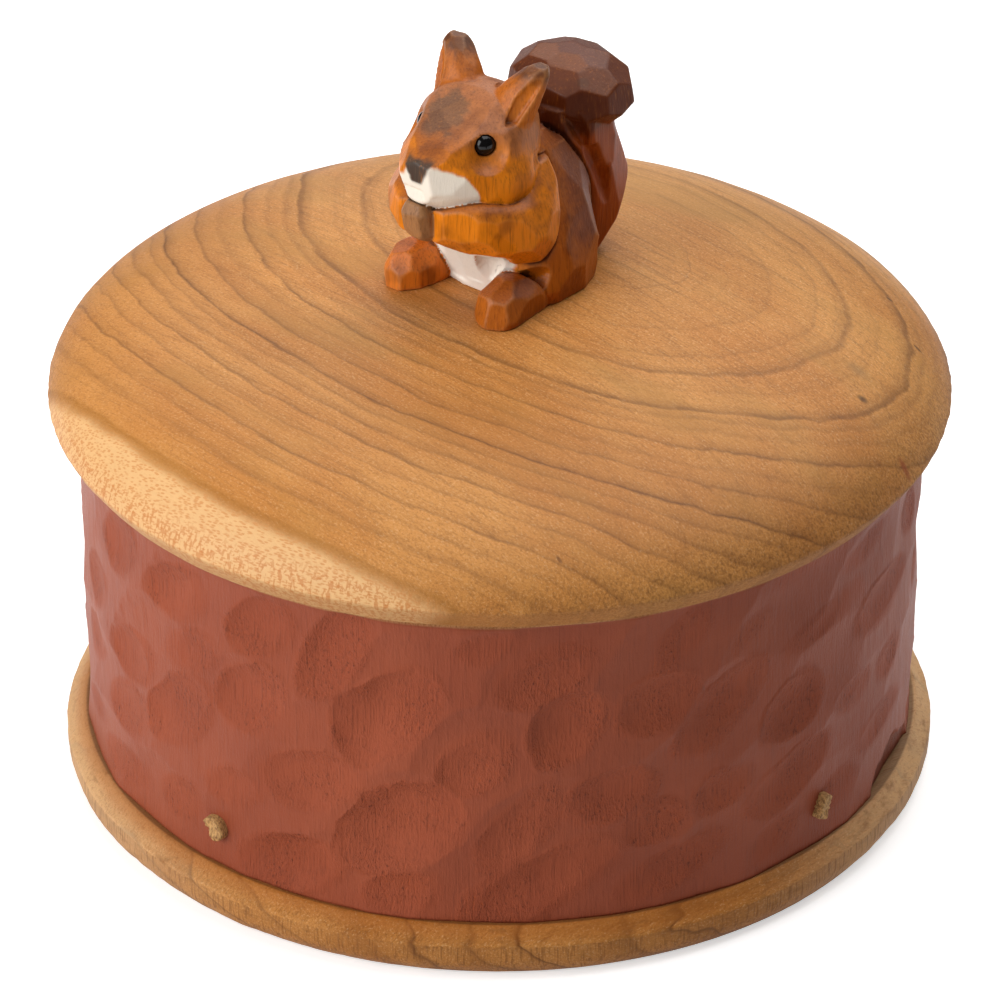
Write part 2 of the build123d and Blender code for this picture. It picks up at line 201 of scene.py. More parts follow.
class Finish:
    """A material, painted coat by coat. A tone is a socket or red, green and blue as a screen shows them."""

    def __init__(self, name, roughness=0.5, specular=0.5):
        self.material = bpy.data.materials.new(name)
        self.material.use_nodes = True
        self.tree = self.material.node_tree
        self.shader = self.tree.nodes["Principled BSDF"]
        self.shader.inputs["Roughness"].default_value = roughness
        self.shader.inputs["Specular IOR Level"].default_value = specular
        self.place = self.node("ShaderNodeTexCoord").outputs["Object"]
        self.facing = self.node("ShaderNodeNewGeometry").outputs["Normal"]
        self.colour = None

    def node(self, kind, **settings):
        made = self.tree.nodes.new(kind)
        for key, value in settings.items():
            setattr(made, key, value)
        return made

    def feed(self, socket, value):
        if isinstance(value, bpy.types.NodeSocket):
            self.tree.links.new(value, socket)
        else:
            socket.default_value = value

    def math(self, operation, *values, clamp=False):
        made = self.node("ShaderNodeMath", operation=operation, use_clamp=clamp)
        for socket, value in zip(made.inputs, values):
            self.feed(socket, value)
        return made.outputs[0]

    def times(self, first, *others):
        for other in others:
            first = self.math("MULTIPLY", first, other)
        return first

    def scaled(self, value, by, plus):
        return self.math("MULTIPLY_ADD", value, by, plus)

    def rest_of(self, share):
        return self.math("SUBTRACT", 1.0, share)

    def part_of(self, vector, axis):
        made = self.node("ShaderNodeSeparateXYZ")
        self.feed(made.inputs[0], vector)
        return made.outputs[axis]

    def length(self, vector):
        made = self.node("ShaderNodeVectorMath", operation="LENGTH")
        self.feed(made.inputs[0], vector)
        return made.outputs["Value"]

    def laid(self, scale, turn=0.0, origin=(0, 0, 0)):
        """Coordinates from an origin, turned about Z and divided by scale, in millimetres and degrees."""
        made = self.node("ShaderNodeMapping", vector_type="TEXTURE")
        self.feed(made.inputs["Vector"], self.place)
        made.inputs["Location"].default_value = [v * MM for v in origin]
        made.inputs["Rotation"].default_value = (0, 0, math.radians(turn))
        made.inputs["Scale"].default_value = [v * MM for v in scale]
        return made.outputs[0]

    def seen(self):
        """Millimetres to the right of the middle and away from the camera."""
        turned = self.laid((1.0, 1.0, 1.0), FACING_CAMERA + 90)
        return self.part_of(turned, 0), self.part_of(turned, 1)

    def noise(self, scale, turn=0.0, detail=2.0, roughness=0.5):
        """Noise between 0 and 1 with marks of about the size of scale."""
        made = self.node("ShaderNodeTexNoise")
        self.feed(made.inputs["Vector"], self.laid(scale, turn))
        for key, value in (("Scale", 1.0), ("Detail", detail), ("Roughness", roughness)):
            made.inputs[key].default_value = value
        return made.outputs["Fac"]

    def cells(self, scale, turn):
        """Distance to the nearest of scattered points, and a random shade for each of them."""
        made = self.node("ShaderNodeTexVoronoi")
        self.feed(made.inputs["Vector"], self.laid(scale, turn))
        made.inputs["Scale"].default_value = 1.0
        return made.outputs["Distance"], self.part_of(made.outputs["Color"], 0)

    def ramp(self, factor, stops):
        """Maps a factor through stops of a position and a grey level."""
        made = self.node("ShaderNodeValToRGB")
        self.feed(made.inputs[0], factor)
        elements = made.color_ramp.elements
        while len(elements) < len(stops):
            elements.new(0.5)
        for element, (position, level) in zip(elements, stops):
            element.position = position
            element.color = (level, level, level, 1)
        return made.outputs["Color"]

    def step(self, value, low, high):
        """0 below low, 1 above high and smooth between them."""
        made = self.node("ShaderNodeMapRange", interpolation_type="SMOOTHSTEP")
        for key, given in (("Value", value), ("From Min", low), ("From Max", high)):
            self.feed(made.inputs[key], given)
        return made.outputs[0]

    def mix(self, share, first, second):
        made = self.node("ShaderNodeMix", data_type="RGBA")
        self.feed(made.inputs[0], share)
        for index, tone in ((6, first), (7, second)):
            self.feed(made.inputs[index], srgb(*tone) if isinstance(tone, tuple) else tone)
        return made.outputs[2]

    def coat(self, tone, *shares):
        """Lays a tone over the colour so far, by the product of shares."""
        self.colour = self.mix(self.times(*shares), self.colour, tone)

    def attribute(self, name, output="Fac"):
        return self.node("ShaderNodeAttribute", attribute_name=name).outputs[output]

    def bump(self, height, distance):
        """A relief of that many millimetres."""
        made = self.node("ShaderNodeBump")
        made.inputs["Strength"].default_value = 1.0
        made.inputs["Distance"].default_value = distance * MM
        self.feed(made.inputs["Height"], height)
        return made.outputs[0]

    def done(self, roughness=None, normal=None):
        self.feed(self.shader.inputs["Base Color"], self.colour)
        if roughness is not None:
            self.feed(self.shader.inputs["Roughness"], roughness)
        if normal is not None:
            self.feed(self.shader.inputs["Normal"], normal)
        return self.material


# Wood: a scale that flattens an axis, and the sizes of marks along, across and through the grain
FLATTEN = 1e6
PATCH, STREAK = (60, 26, 26), (45, 1.7, 1.7)
FIBRE, GRIT = (11, 0.42, 0.42), (0.55, 0.34, 0.34)
SPARKLE = (242, 206, 154)
# Fine growth rings: how uneven their steps are, and the darkness on the way from one to the next
RING_UNEVEN, RING_SWING = 0.45, 2.4
FINE_RING = ((0.0, 0.3), (0.06, 0.0), (0.5, 0.0), (0.85, 0.3), (0.95, 1.0), (1.0, 0.3))
# Drawn growth rings: the shade before a ring, its edge, the shade's darkness and the distance that they cover
RING_FADE, RING_EDGE, RING_SHADE, RING_SPAN = 2.4, 0.55, 0.35, 120.0


def fine_rings(f, across, spacing, rarity):
    """Thin dark lines at uneven steps of a distance in millimetres, some darker than others."""
    count = f.math("DIVIDE", across, spacing)
    uneven = f.node("ShaderNodeTexNoise", noise_dimensions="1D")
    f.feed(uneven.inputs["W"], count)
    uneven.inputs["Scale"].default_value = RING_UNEVEN
    uneven.inputs["Detail"].default_value = 1.0
    count = f.scaled(uneven.outputs["Fac"], RING_SWING, count)
    shade = f.node("ShaderNodeTexWhiteNoise", noise_dimensions="1D")
    f.feed(shade.inputs["W"], f.math("FLOOR", count))
    strength = f.math("POWER", shade.outputs["Value"], rarity)
    return f.times(f.ramp(f.math("FRACT", count), FINE_RING), strength)


def drawn_rings(f, across, rings):
    """Dark lines at chosen distances in millimetres, each with a darkness and a soft shade before it."""
    lines = None
    for part in (rings[::3], rings[1::3], rings[2::3]):
        stops = [(0.0, 0.0)]
        for place, darkness in part:
            stops += [(place - RING_FADE, 0.0), (place - RING_EDGE, RING_SHADE * darkness)]
            stops += [(place, darkness), (place + RING_EDGE / 2, 0.0)]
        stops = [(place / RING_SPAN, level) for place, level in stops]
        line = f.ramp(f.math("DIVIDE", across, RING_SPAN), stops)
        lines = line if lines is None else f.math("MAXIMUM", lines, line)
    return lines


def wood_ground(f, turn, light, mid, dark):
    """Lays the tones between the rings: patches, fibres, pores and sparkle. Returns a relief."""
    patch = f.noise(PATCH, turn, detail=3, roughness=0.6)
    f.colour = f.mix(f.step(patch, 0.36, 0.66), light, mid)
    streak = f.noise(STREAK, turn, detail=3, roughness=0.6)
    f.coat(dark, f.step(streak, 0.5, 0.78), 0.30)
    fibre = f.noise(FIBRE, turn, detail=4, roughness=0.65)
    f.coat(dark, f.step(fibre, 0.45, 0.75), 0.40)
    grit = f.noise(GRIT, turn, detail=2, roughness=0.7)
    f.coat(dark, f.step(grit, 0.52, 0.72), 0.42)
    f.coat(SPARKLE, f.step(grit, 0.46, 0.28), 0.34)
    return f.times(f.math("ADD", fibre, grit), 0.5)


# Lid board: tones, turn of the grain, the log's middle, and how its rings are stretched, bowed and slanted
LID_LIGHT, LID_MID, LID_DARK = (210, 147, 77), (193, 126, 58), (108, 64, 26)
LID_GRAIN = -5.75
LOG_MIDDLE = (0.2, 26.9, 0)
LOG_STRETCH, LOG_BOW, LOG_SLANT = 1.583, 0.00056, 0.43
# How the rings wander: size of the waves and their swing
LOG_WANDER = (((42, 20, 20), 5.0), ((9, 4.5, 4.5), 1.8), ((2.2, 1.3, 1.3), 0.5))
# Growth rings of the lid: the distance from the middle of the log at which each shows, and its darkness
LID_RINGS = [
    (24.0, 0.25), (30.5, 0.3), (35.0, 0.8), (39.5, 0.2), (44.9, 1.0), (47.2, 0.5), (50.0, 0.35), (53.9, 0.65),
    (58.0, 0.3), (62.0, 0.6), (67.5, 0.8), (70.5, 0.45), (74.0, 0.6), (78.4, 0.65), (82.5, 0.35), (87.7, 0.6),
    (91.5, 0.35), (95.5, 0.5),
]
LID_RING_SPACING, LID_RING_RARITY = 2.3, 1.8
SAPWOOD, SAPWOOD_FADE, SAPWOOD_BORDER = 102.0, 3.0, 1.4
# Painted shade to one side and toward the camera, and a paler painted sheen away from it
# Painted light and shade as the camera sees the lid: right or away, where each starts and is full, strength and
# tone
LID_PAINTED_LIGHT = (
    (0, -35.0, -75.0, 0.4, (176, 110, 52)), (1, -15.0, -50.0, 0.25, (178, 112, 44)),
    (1, 10.0, 65.0, 0.25, (210, 164, 120)),
)
# Small marks in the lid: middle, half sizes along and across the grain and in depth, strength and colour
LID_MARKS = [
    ((63.6, 22.0, 83.8), (1.9, 1.3, 2.5), 0.95, (60, 34, 18)),
    ((75.9, 18.3, 77.3), (3.0, 1.0, 3.0), 0.7, (142, 66, 28)),
    ((56.7, 47.1, 82.2), (1.4, 0.5, 2.0), 0.8, (84, 48, 22)),
    ((43.6, 55.5, 83.0), (1.2, 0.5, 2.0), 0.8, (84, 48, 22)),
    ((55.9, -48.8, 81.9), (1.0, 0.4, 1.5), 0.6, (96, 56, 26)),
    ((57.3, 27.9, 84.7), (4.5, 2.2, 3.0), 0.35, (120, 98, 72)),
]


def log_distance(f, height):
    """Distance of each place in the lid from the middle of its log, with oval, unsteady rings."""
    flat = f.laid((1.0, 1.0, FLATTEN), LID_GRAIN, LOG_MIDDLE)
    along, aside = f.part_of(flat, 0), f.part_of(flat, 1)
    aside = f.scaled(f.times(along, along), -LOG_BOW, aside)
    along = f.math("DIVIDE", along, LOG_STRETCH)
    oval = f.math("SQRT", f.math("ADD", f.times(along, along), f.times(aside, aside)))
    across = f.scaled(f.math("SUBTRACT", LID_CROWN, height), LOG_SLANT, oval)
    for size, swing in LOG_WANDER:
        across = f.scaled(f.math("SUBTRACT", f.noise(size, LID_GRAIN), 0.5), swing, across)
    return across


def lay_rings(f, across, heart):
    """The lid's growth rings and the darker band between them, broken here and there."""
    band = f.times(f.step(across, 54.0, 60.0), f.step(across, 84.0, 66.0))
    f.coat((150, 90, 38), band, 0.18)
    fine = f.times(fine_rings(f, across, LID_RING_SPACING, LID_RING_RARITY), 0.35)
    lines = f.math("MAXIMUM", drawn_rings(f, across, LID_RINGS), fine)
    broken = f.step(f.noise((14, 6, 6), LID_GRAIN, detail=3), 0.3, 0.6)
    f.coat((98, 56, 22), lines, f.scaled(broken, 0.4, 0.6), heart)
    f.coat((150, 96, 30), f.step(across, SAPWOOD - SAPWOOD_BORDER, SAPWOOD), heart, 0.5)


def lay_ray_flecks(f, sap, height):
    """Short orange strokes in the sapwood, which stand upright where the rim is steep."""
    near, pick = f.cells((1.15, 0.4, 0.36), LID_GRAIN + 14)
    f.coat((196, 116, 48), f.step(near, 0.6, 0.25), f.step(pick, 0.05, 0.3), sap, 0.55)
    comb = f.step(f.noise((0.62, 0.62, 3.4), LID_GRAIN), 0.5, 0.6)
    f.coat((192, 112, 44), comb, sap, f.step(height, LID_RIM + 6, LID_RIM + 2), 0.6)


def lid_wood():
    """Flat-sawn cherry-like board: oval rings, pale flecked sapwood along one edge, fuzzy end grain."""
    f = Finish("oiled_lid_wood", specular=0.28)
    height = f.times(f.part_of(f.place, 2), 1 / MM)
    across = log_distance(f, height)
    relief = wood_ground(f, LID_GRAIN, LID_LIGHT, LID_MID, LID_DARK)
    olive = f.noise((38, 15, 15), LID_GRAIN + 8, detail=3)
    f.coat((178, 128, 62), f.step(olive, 0.5, 0.68), 0.5)
    seen = f.seen()
    # Painted light and shade, laid by where the camera sees each place
    for axis, start, full, strength, tone in LID_PAINTED_LIGHT:
        f.coat(tone, f.step(seen[axis], start, full), strength)
    sap = f.step(across, SAPWOOD - 0.3, SAPWOOD + SAPWOOD_FADE)
    heart = f.rest_of(sap)
    f.coat((232, 188, 132), sap, 0.75)
    lay_rings(f, across, heart)
    lay_ray_flecks(f, sap, height)
    end = f.times(f.step(f.math("ABSOLUTE", f.part_of(f.facing, 0)), 0.28, 0.85), heart)
    fuzz = f.noise((0.5, 0.5, 0.8), LID_GRAIN, detail=3, roughness=0.7)
    f.coat(LID_DARK, end, f.scaled(f.step(fuzz, 0.4, 0.7), 0.6, 0.08))
    for middle, sizes, strength, tone in LID_MARKS:
        f.coat(tone, f.step(f.length(f.laid(sizes, LID_GRAIN, middle)), 1.0, 0.4), strength)
    # Painted shade on the down-facing rim bevel and underside
    under = f.step(f.part_of(f.facing, 2), 0.1, -0.3)
    f.coat((150, 98, 48), under, 0.35)
    relief = f.scaled(fuzz, f.math("ADD", end, under), relief)
    return f.done(f.scaled(relief, 0.2, 0.4), f.bump(relief, 0.14))


# Base board: its tones, the turn of its grain, the log's middle, and the spacing and swing of its rings
BASE_LIGHT, BASE_MID, BASE_DARK = (198, 134, 66), (174, 108, 42), (104, 60, 24)
BASE_GRAIN = 84.0
BASE_LOG_MIDDLE = (-22.0, 0.0, -48.0)
BASE_RING_SPACING, BASE_RING_RARITY, BASE_RING_WANDER = 7.0, 0.7, 14.0


def base_wood():
    """Rough-cut board seen mostly on its rim: end-grain arcs, a hatched bevel, fine upright chatter, with
    painted light and shade.
    """
    f = Finish("oiled_base_wood", roughness=0.6, specular=0.2)
    across = f.length(f.laid((1.0, FLATTEN, 1.0), 0.0, BASE_LOG_MIDDLE))
    across = f.scaled(f.noise((26, 26, 18), detail=3), BASE_RING_WANDER, across)
    relief = wood_ground(f, BASE_GRAIN, BASE_LIGHT, BASE_MID, BASE_DARK)
    f.coat(BASE_DARK, fine_rings(f, across, BASE_RING_SPACING, BASE_RING_RARITY))
    right, _ = f.seen()
    # Painted light: paler toward both sides of the base as the camera sees them
    f.coat((230, 190, 142), f.step(f.math("ABSOLUTE", right), 40.0, 78.0), 0.65)
    upright = f.step(f.part_of(f.facing, 2), 0.45, 0.15)
    bevel = f.rest_of(upright)
    # Painted shade: the upright side of the rim darker than the bevel on top
    f.coat((150, 98, 52), upright, 0.30)
    chatter = f.noise((0.42, 0.42, 5.0))
    f.coat(BASE_DARK, upright, f.step(chatter, 0.5, 0.66), 0.45)
    hatch = f.noise((2.6, 0.5, 0.5), 75.0, detail=3, roughness=0.65)
    f.coat((150, 84, 28), bevel, f.step(hatch, 0.5, 0.7), 0.38)
    outward = f.length(f.laid((1.0, 1.0, FLATTEN)))
    # Painted shade in the corner where the bevel meets the wall, except on the right
    seat = f.step(outward, WALL_RADIUS + 3.0, WALL_RADIUS + 0.8)
    f.coat((172, 98, 32), seat, bevel, f.step(right, 60.0, 30.0), 0.55)
    # Painted shadow in the thin gap where the wall stands on the base
    seam_shadow = f.step(outward, WALL_RADIUS + 0.3, WALL_RADIUS - 0.2)
    f.coat((64, 32, 14), seam_shadow, 0.6)
    worn = f.noise((7, 7, 3), detail=3, roughness=0.65)
    f.coat((118, 70, 28), f.step(worn, 0.56, 0.74), 0.5)
    relief = f.scaled(chatter, upright, relief)
    relief = f.scaled(hatch, bevel, relief)
    return f.done(normal=f.bump(relief, 0.16))


def wall_paint():
    """Thin red-brown paint on carved wood: smoother on the lands, torn in the scoops, bare inside."""
    f = Finish("red_brown_paint", specular=0.16)
    scoop = f.step(f.attribute("scoop"), 0.08, 0.6)
    cloud = f.step(f.noise((22, 22, 22), detail=3), 0.3, 0.7)
    land = f.mix(cloud, (154, 77, 50), (144, 70, 45))
    cut = f.mix(cloud, (159, 79, 51), (147, 71, 45))
    f.colour = f.mix(scoop, land, cut)
    grain = f.noise((0.36, 0.36, 9.0), detail=4, roughness=0.65)
    f.coat((92, 44, 30), f.step(grain, 0.47, 0.75), f.scaled(scoop, 0.16, 0.26))
    torn = f.noise((0.45, 0.45, 1.0), detail=3, roughness=0.7)
    rough = f.times(scoop, f.step(f.noise((9, 9, 9)), 0.36, 0.6))
    f.coat((84, 34, 22), f.step(torn, 0.56, 0.7), rough, 0.75)
    f.coat((84, 40, 26), f.step(f.attribute("chip"), 0.0, 0.3), 0.5)
    f.coat((186, 84, 38), f.step(torn, 0.42, 0.28), rough, 0.5)
    bare = f.mix(f.step(grain, 0.4, 0.7), (206, 158, 108), (168, 116, 70))
    f.colour = f.mix(f.attribute("outside"), bare, f.colour)
    relief = f.times(grain, f.scaled(scoop, 0.25, 0.3))
    relief = f.scaled(torn, f.scaled(rough, 0.75, 0.28), relief)
    return f.done(f.scaled(scoop, 0.12, 0.46), f.bump(relief, 0.4))


def figure_stain():
    """Stain and paint on whittled wood: upright fibres, a tone for each cut, lighter ridges that are partly wear
    and partly a painted highlight, painted shade in the creases.
    """
    f = Finish("stained_figure")
    f.colour = f.attribute("stain", "Color")
    stained = f.rest_of(f.attribute("white"))
    fibre = f.noise((0.42, 0.42, 6.5), detail=4, roughness=0.65)
    f.coat((70, 26, 6), f.step(fibre, 0.46, 0.74), f.scaled(stained, 0.40, 0.06))
    f.coat((222, 132, 44), f.step(fibre, 0.45, 0.28), stained, 0.25)
    cloud = f.noise((5, 5, 7), detail=3)
    f.coat((84, 34, 10), f.step(cloud, 0.48, 0.72), stained, 0.48)
    facet = f.attribute("facet")
    f.coat((210, 138, 82), f.math("MULTIPLY", facet, stained, clamp=True), 0.15)
    f.coat((66, 26, 8), f.math("MULTIPLY", f.times(facet, -1.0), stained, clamp=True), 0.16)
    # Lighter ridges: partly wear, partly a painted highlight
    f.coat((206, 146, 96), f.attribute("ridge"), stained, 0.2)
    # Painted shade in the creases
    f.coat((40, 15, 5), f.step(f.attribute("crease_shade"), 0.5, 1.0), f.scaled(stained, 0.45, 0.3))
    relief = f.math("ADD", f.times(fibre, 0.7), f.times(cloud, 0.3))
    rubbed = f.step(f.part_of(f.facing, 2), 0.0, 0.7)
    f.feed(f.shader.inputs["Specular IOR Level"], f.scaled(rubbed, 0.22, 0.12))
    return f.done(f.scaled(fibre, 0.2, 0.32), f.bump(relief, 0.1))


def peg_wood():
    """Split dowel with a torn end."""
    f = Finish("split_peg_wood", roughness=0.7)
    fibre = f.noise((0.35, 0.35, 0.9), detail=3, roughness=0.7)
    f.colour = f.mix(f.step(fibre, 0.35, 0.7), (208, 160, 98), (124, 82, 42))
    return f.done(normal=f.bump(fibre, 0.25))


def bead_gloss():
    """Polished black bead with the faintest cloud in it."""
    f = Finish("black_bead", specular=0.3)
    cloud = f.noise((1.5, 1.5, 1.5))
    f.colour = f.mix(cloud, (6.6, 6.6, 6.6), (17.9, 15.6, 15.6))
    return f.done(f.scaled(cloud, 0.06, 0.08))


def screw_steel():
    """Zinc-plated steel with a brushed, slightly cloudy face."""
    f = Finish("zinc_steel")
    f.shader.inputs["Metallic"].default_value = 1.0
    cloud = f.noise((0.8, 0.8, 0.8), detail=3)
    f.colour = f.mix(cloud, (168, 164, 150), (206, 200, 186))
    return f.done(f.scaled(cloud, 0.3, 0.2), f.bump(cloud, 0.03))


# Base: columns of its mesh, the radius of its innermost row, and the steps inward and up of its worn edge
BASE_COLUMNS = 540
BASE_CORE = 4.0
WORN_EDGE = ((0.0, -0.5), (0.15, 0.0), (0.5, 0.3), (0.8, 0.5))
# Where the rim was planed back: degrees round from the camera, spread in degrees and depth
PLANED_RIM = (38, 46, 1.1)
# Unevenness of the rim, outward and upward: strength, size, seed and upright squeeze
BASE_WAVER = ((0.2, 12, 1, 1), (0.10, 1.6, 2, 0.2))
BASE_SWELL = ((0.30, 9, 3, 0.1), (0.10, 2.5, 12, 1))


def base_profile():
    """Radii and heights of the base from the middle of its underside to the middle of its top."""
    radius, top = BASE_HIGH[0], BASE_HIGH[2]
    spigot, inner = BORE_RADIUS - BASE_GLUE_GAP, radius - BASE_UNDER_ROUND
    edge = [(radius - inward, RIM_TOP - BASE_BEVEL_HEIGHT + up) for inward, up in WORN_EDGE]
    bevel_end = (radius - BASE_BEVEL_WIDTH, RIM_TOP)
    shoulder = (spigot, top - BASE_SPIGOT_BEVEL)
    spigot_edge = (spigot - BASE_SPIGOT_BEVEL, top)
    profile = spread((BASE_CORE, 0), (inner, 0), 10)
    profile += arc((inner, BASE_UNDER_ROUND), BASE_UNDER_ROUND, -90, 0, 10)
    profile += spread((radius, BASE_UNDER_ROUND), edge[0], 3)
    profile += edge[:-1] + spread(edge[-1], bevel_end, 5)
    profile += spread(bevel_end, (spigot, RIM_TOP), 4)
    profile += spread((spigot, RIM_TOP), shoulder, 4) + spread(shoulder, spigot_edge, 2)
    return profile + spread(spigot_edge, (BASE_CORE, top), 12)


def make_base():
    """The base board, its hand-cut rim a little out of round, with the spigot that floors the box."""
    profile = base_profile()
    angle, r, z = turned_points(profile, BASE_COLUMNS)
    flat = polar(angle, r, z)
    rim = smoothstep(WALL_RADIUS + 0.2, BASE_HIGH[0] - 1, r)
    turn, width, depth = PLANED_RIM
    planed = depth * np.exp(-(around(angle, turn) / math.radians(width)) ** 2)
    r = r - rim * (planed + layered(flat, *BASE_WAVER))
    z = z + rim * (z > 1) * layered(flat, *BASE_SWELL)
    faces = ring_grid(len(profile), BASE_COLUMNS)
    ends = (0, 0, 0), (0, 0, BASE_HIGH[2])
    points, faces = with_poles(polar(angle, r, z), faces, BASE_COLUMNS, *ends)
    piece = add_mesh("base_board", points, faces)
    piece.data.materials.append(base_wood())
    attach(piece, "box")
    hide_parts("base")


# Wall: columns and rows of its mesh, its bevel and the gouge
WALL_COLUMNS, WALL_ROWS = 1200, 150
WALL_BEVEL = 0.8
GOUGE_RADIUS = 16.0
# How much deeper a scoop is at its upper side and at its left end
SCOOP_UPPER, SCOOP_LEFT = 0.4, 0.15
# Scoops on the side that shows: degrees from the camera, height over the wall's foot, length, width, tilt
SHOWN_SCOOPS = [
    (-62, 52, 19, 13.5, 25), (-48, 51, 20, 13.5, 25), (-33, 52, 20, 13.5, 30), (-22, 51, 26, 13.5, 58),
    (-1, 55, 19, 9, 15), (6, 49, 22, 12.5, 25), (25, 53, 19, 10, 50), (35, 50, 17, 8, 30), (43, 58, 20, 7, 8),
    (49, 45, 30, 9, 14), (58, 54, 22, 9, 5), (74, 50, 12, 11, 0),
    (-72, 37, 17, 12.5, 20), (-59, 31, 17, 13.5, 20), (-45, 41, 20, 11, 25), (-35, 37, 22, 14.5, 40),
    (-15, 40, 28, 17, 42), (-3, 32, 19, 13.5, 45), (9, 39, 20, 15.5, 45), (21, 41, 20, 13.5, 20),
    (31, 37, 28, 13.5, 38), (43, 31, 20, 14.5, 22), (64, 40, 28, 12.5, 3),
    (-74, 24, 17, 11, 15), (-61, 19, 22, 12.5, 15), (-48, 27, 26, 14.5, 38), (-38, 17, 17, 11, 10),
    (-26, 24, 24, 14.5, 20), (-13, 18, 30, 18, 36), (3, 19, 25, 12.5, 52), (15, 24, 21, 13.5, 12),
    (21, 17, 17, 11, 15), (31, 20, 17, 11, 10), (43, 17, 28, 12.5, 20), (56, 26, 18, 10, 2),
    (67, 25, 15, 10, 0), (64, 14, 26, 10, 2),
    (-75, 9, 17, 9, 10), (-63, 6, 25, 10, 8), (-48, 9, 16, 11, 20), (-29, 6, 25, 14.5, 16),
    (-13, 5, 19, 11, 12), (6, 8, 36, 13.5, 26), (24, 7, 28, 11, 20), (40, 6, 17, 10, 15), (53, 8, 16, 10, 5),
]
# Scoops by rule: rows, degrees from one to the next and their play, lowest row, step and play of the rows
EVEN_ROWS, EVEN_STEP, EVEN_PLAY = 4, 17.2, 4.0
LOWEST_ROW, ROW_STEP, ROW_PLAY = 4.9, 14.5, 5.0
# Their least size and what chance adds to it, and the steps that scatter the chances
EVEN_LENGTH, EVEN_WIDTH, EVEN_TILT = (19, 9), (12, 3.5), (8, 34)
SCATTER = (0.618, 0.755, 0.570)
# Scoops by rule on the far side, and the faint first cuts all round: first direction in degrees and columns
FAR_SIDE, FIRST_CUTS = (85, 11), (-174, 21)
FIRST_CUT_GOUGE, FIRST_CUT_SIZE, FIRST_CUT_DEPTH = 4 * GOUGE_RADIUS, 1.5, 0.15
# Unevenness of the scoops' edges and of the wall: strength, size, seed and upright squeeze
STRAY_EDGE = ((0.24, 5, 14, 1), (0.08, 1.8, 15, 1), (0.06, 0.9, 16, 0.3))
WALL_WAVER = ((0.15, 7, 4, 1), (0.05, 1.2, 9, 0.25))
# A splinter lost from the wall's foot: degrees from the camera, half length, height and depth, and its edge
CHIP = (70, 11.0, 6.5, 1.7)
CHIP_EDGE = (0.25, 3.0, 5, 1)


def even_scoops(start, columns):
    """Rows of scoops from one direction on, each a little different from the next."""
    scoops = []
    for count in range(EVEN_ROWS * columns):
        row, column = divmod(count, columns)
        a, b, c = ((count + 1) * step % 1 for step in SCATTER)
        turn = start + EVEN_STEP * (column + row % 2 / 2) + EVEN_PLAY * a - EVEN_PLAY / 2
        height = LOWEST_ROW + ROW_STEP * row + ROW_PLAY * b
        sizes = ((EVEN_LENGTH, c), (EVEN_WIDTH, a), (EVEN_TILT, b))
        scoops.append((turn, height, *(least + more * chance for (least, more), chance in sizes)))
    return scoops


def scoop_depth(angle, height, scoops, gouge, stray, size=1.0):
    """How deep a gouge of that radius went at each place, with a stray edge, deeper where it entered."""
    depth = np.zeros(len(angle))
    for turn, level, length, width, tilt in scoops:
        length, width = length * size, width * size
        along, up = around(angle, turn) * WALL_RADIUS, height - RIM_TOP - level
        near = np.flatnonzero((np.abs(along) < length) & (np.abs(up) < length))
        c, s = math.cos(math.radians(tilt)), math.sin(math.radians(tilt))
        u = (along[near] * c + up[near] * s) / (length / 2)
        v = (up[near] * c - along[near] * s) / (width / 2)
        out = u * u + v * v
        bowl = np.clip(1 - out + stray[near] * np.minimum(out, 1) ** 2, 0, None)
        bowl *= np.clip(1 + SCOOP_UPPER * v - SCOOP_LEFT * u, 0, None)
        depth[near] = np.maximum(depth[near], width ** 2 / (8 * gouge) * bowl)
    return depth


def wall_profile():
    """Radii and heights round the wall's section, from the foot of its outside."""
    shoulder = LID_SEAT - WALL_BEVEL
    corners = [
        (WALL_RADIUS, RIM_TOP), (WALL_RADIUS, shoulder), (WALL_RADIUS - WALL_BEVEL, LID_SEAT),
        (BORE_RADIUS + WALL_BEVEL, LID_SEAT), (BORE_RADIUS, shoulder), (BORE_RADIUS, RIM_TOP),
    ]
    counts = (WALL_ROWS, 2, 4, 2, 8, 3)
    stretches = zip(corners, corners[1:] + corners[:1], counts)
    return [point for start, end, count in stretches for point in spread(start, end, count)]


def make_wall():
    """The painted wall with its gouge scoops and the splinter lost at its foot."""
    profile = wall_profile()
    angle, r, z = turned_points(profile, WALL_COLUMNS)
    outer = np.arange(len(r)) < (WALL_ROWS + 1) * WALL_COLUMNS
    flat = polar(angle, r, z)
    stray = layered(flat, *STRAY_EDGE)
    scoops = SHOWN_SCOOPS + even_scoops(*FAR_SIDE)
    depth = np.where(outer, scoop_depth(angle, z, scoops, GOUGE_RADIUS, stray), 0)
    first_cuts = scoop_depth(angle, z, even_scoops(*FIRST_CUTS), FIRST_CUT_GOUGE, stray, FIRST_CUT_SIZE)
    carved = np.maximum(depth, first_cuts) + FIRST_CUT_DEPTH + layered(flat, *WALL_WAVER)
    turn, half_length, tall, deep = CHIP
    tall = tall * (1 + layered(flat, CHIP_EDGE))
    chip = 1 - (around(angle, turn) * WALL_RADIUS / half_length) ** 2 - ((z - RIM_TOP) / tall) ** 2
    chip = np.where(outer, np.clip(chip, 0, 1), 0)
    r = r - np.where(outer, carved + deep * np.sqrt(chip), 0)
    piece = add_mesh(
        "carved_wall", polar(angle, r, z), ring_grid(len(profile), WALL_COLUMNS, closed=True),
        {"scoop": depth, "outside": outer.astype(float), "chip": chip},
    )
    piece.data.materials.append(wall_paint())
    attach(piece, "box")
    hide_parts("wall")


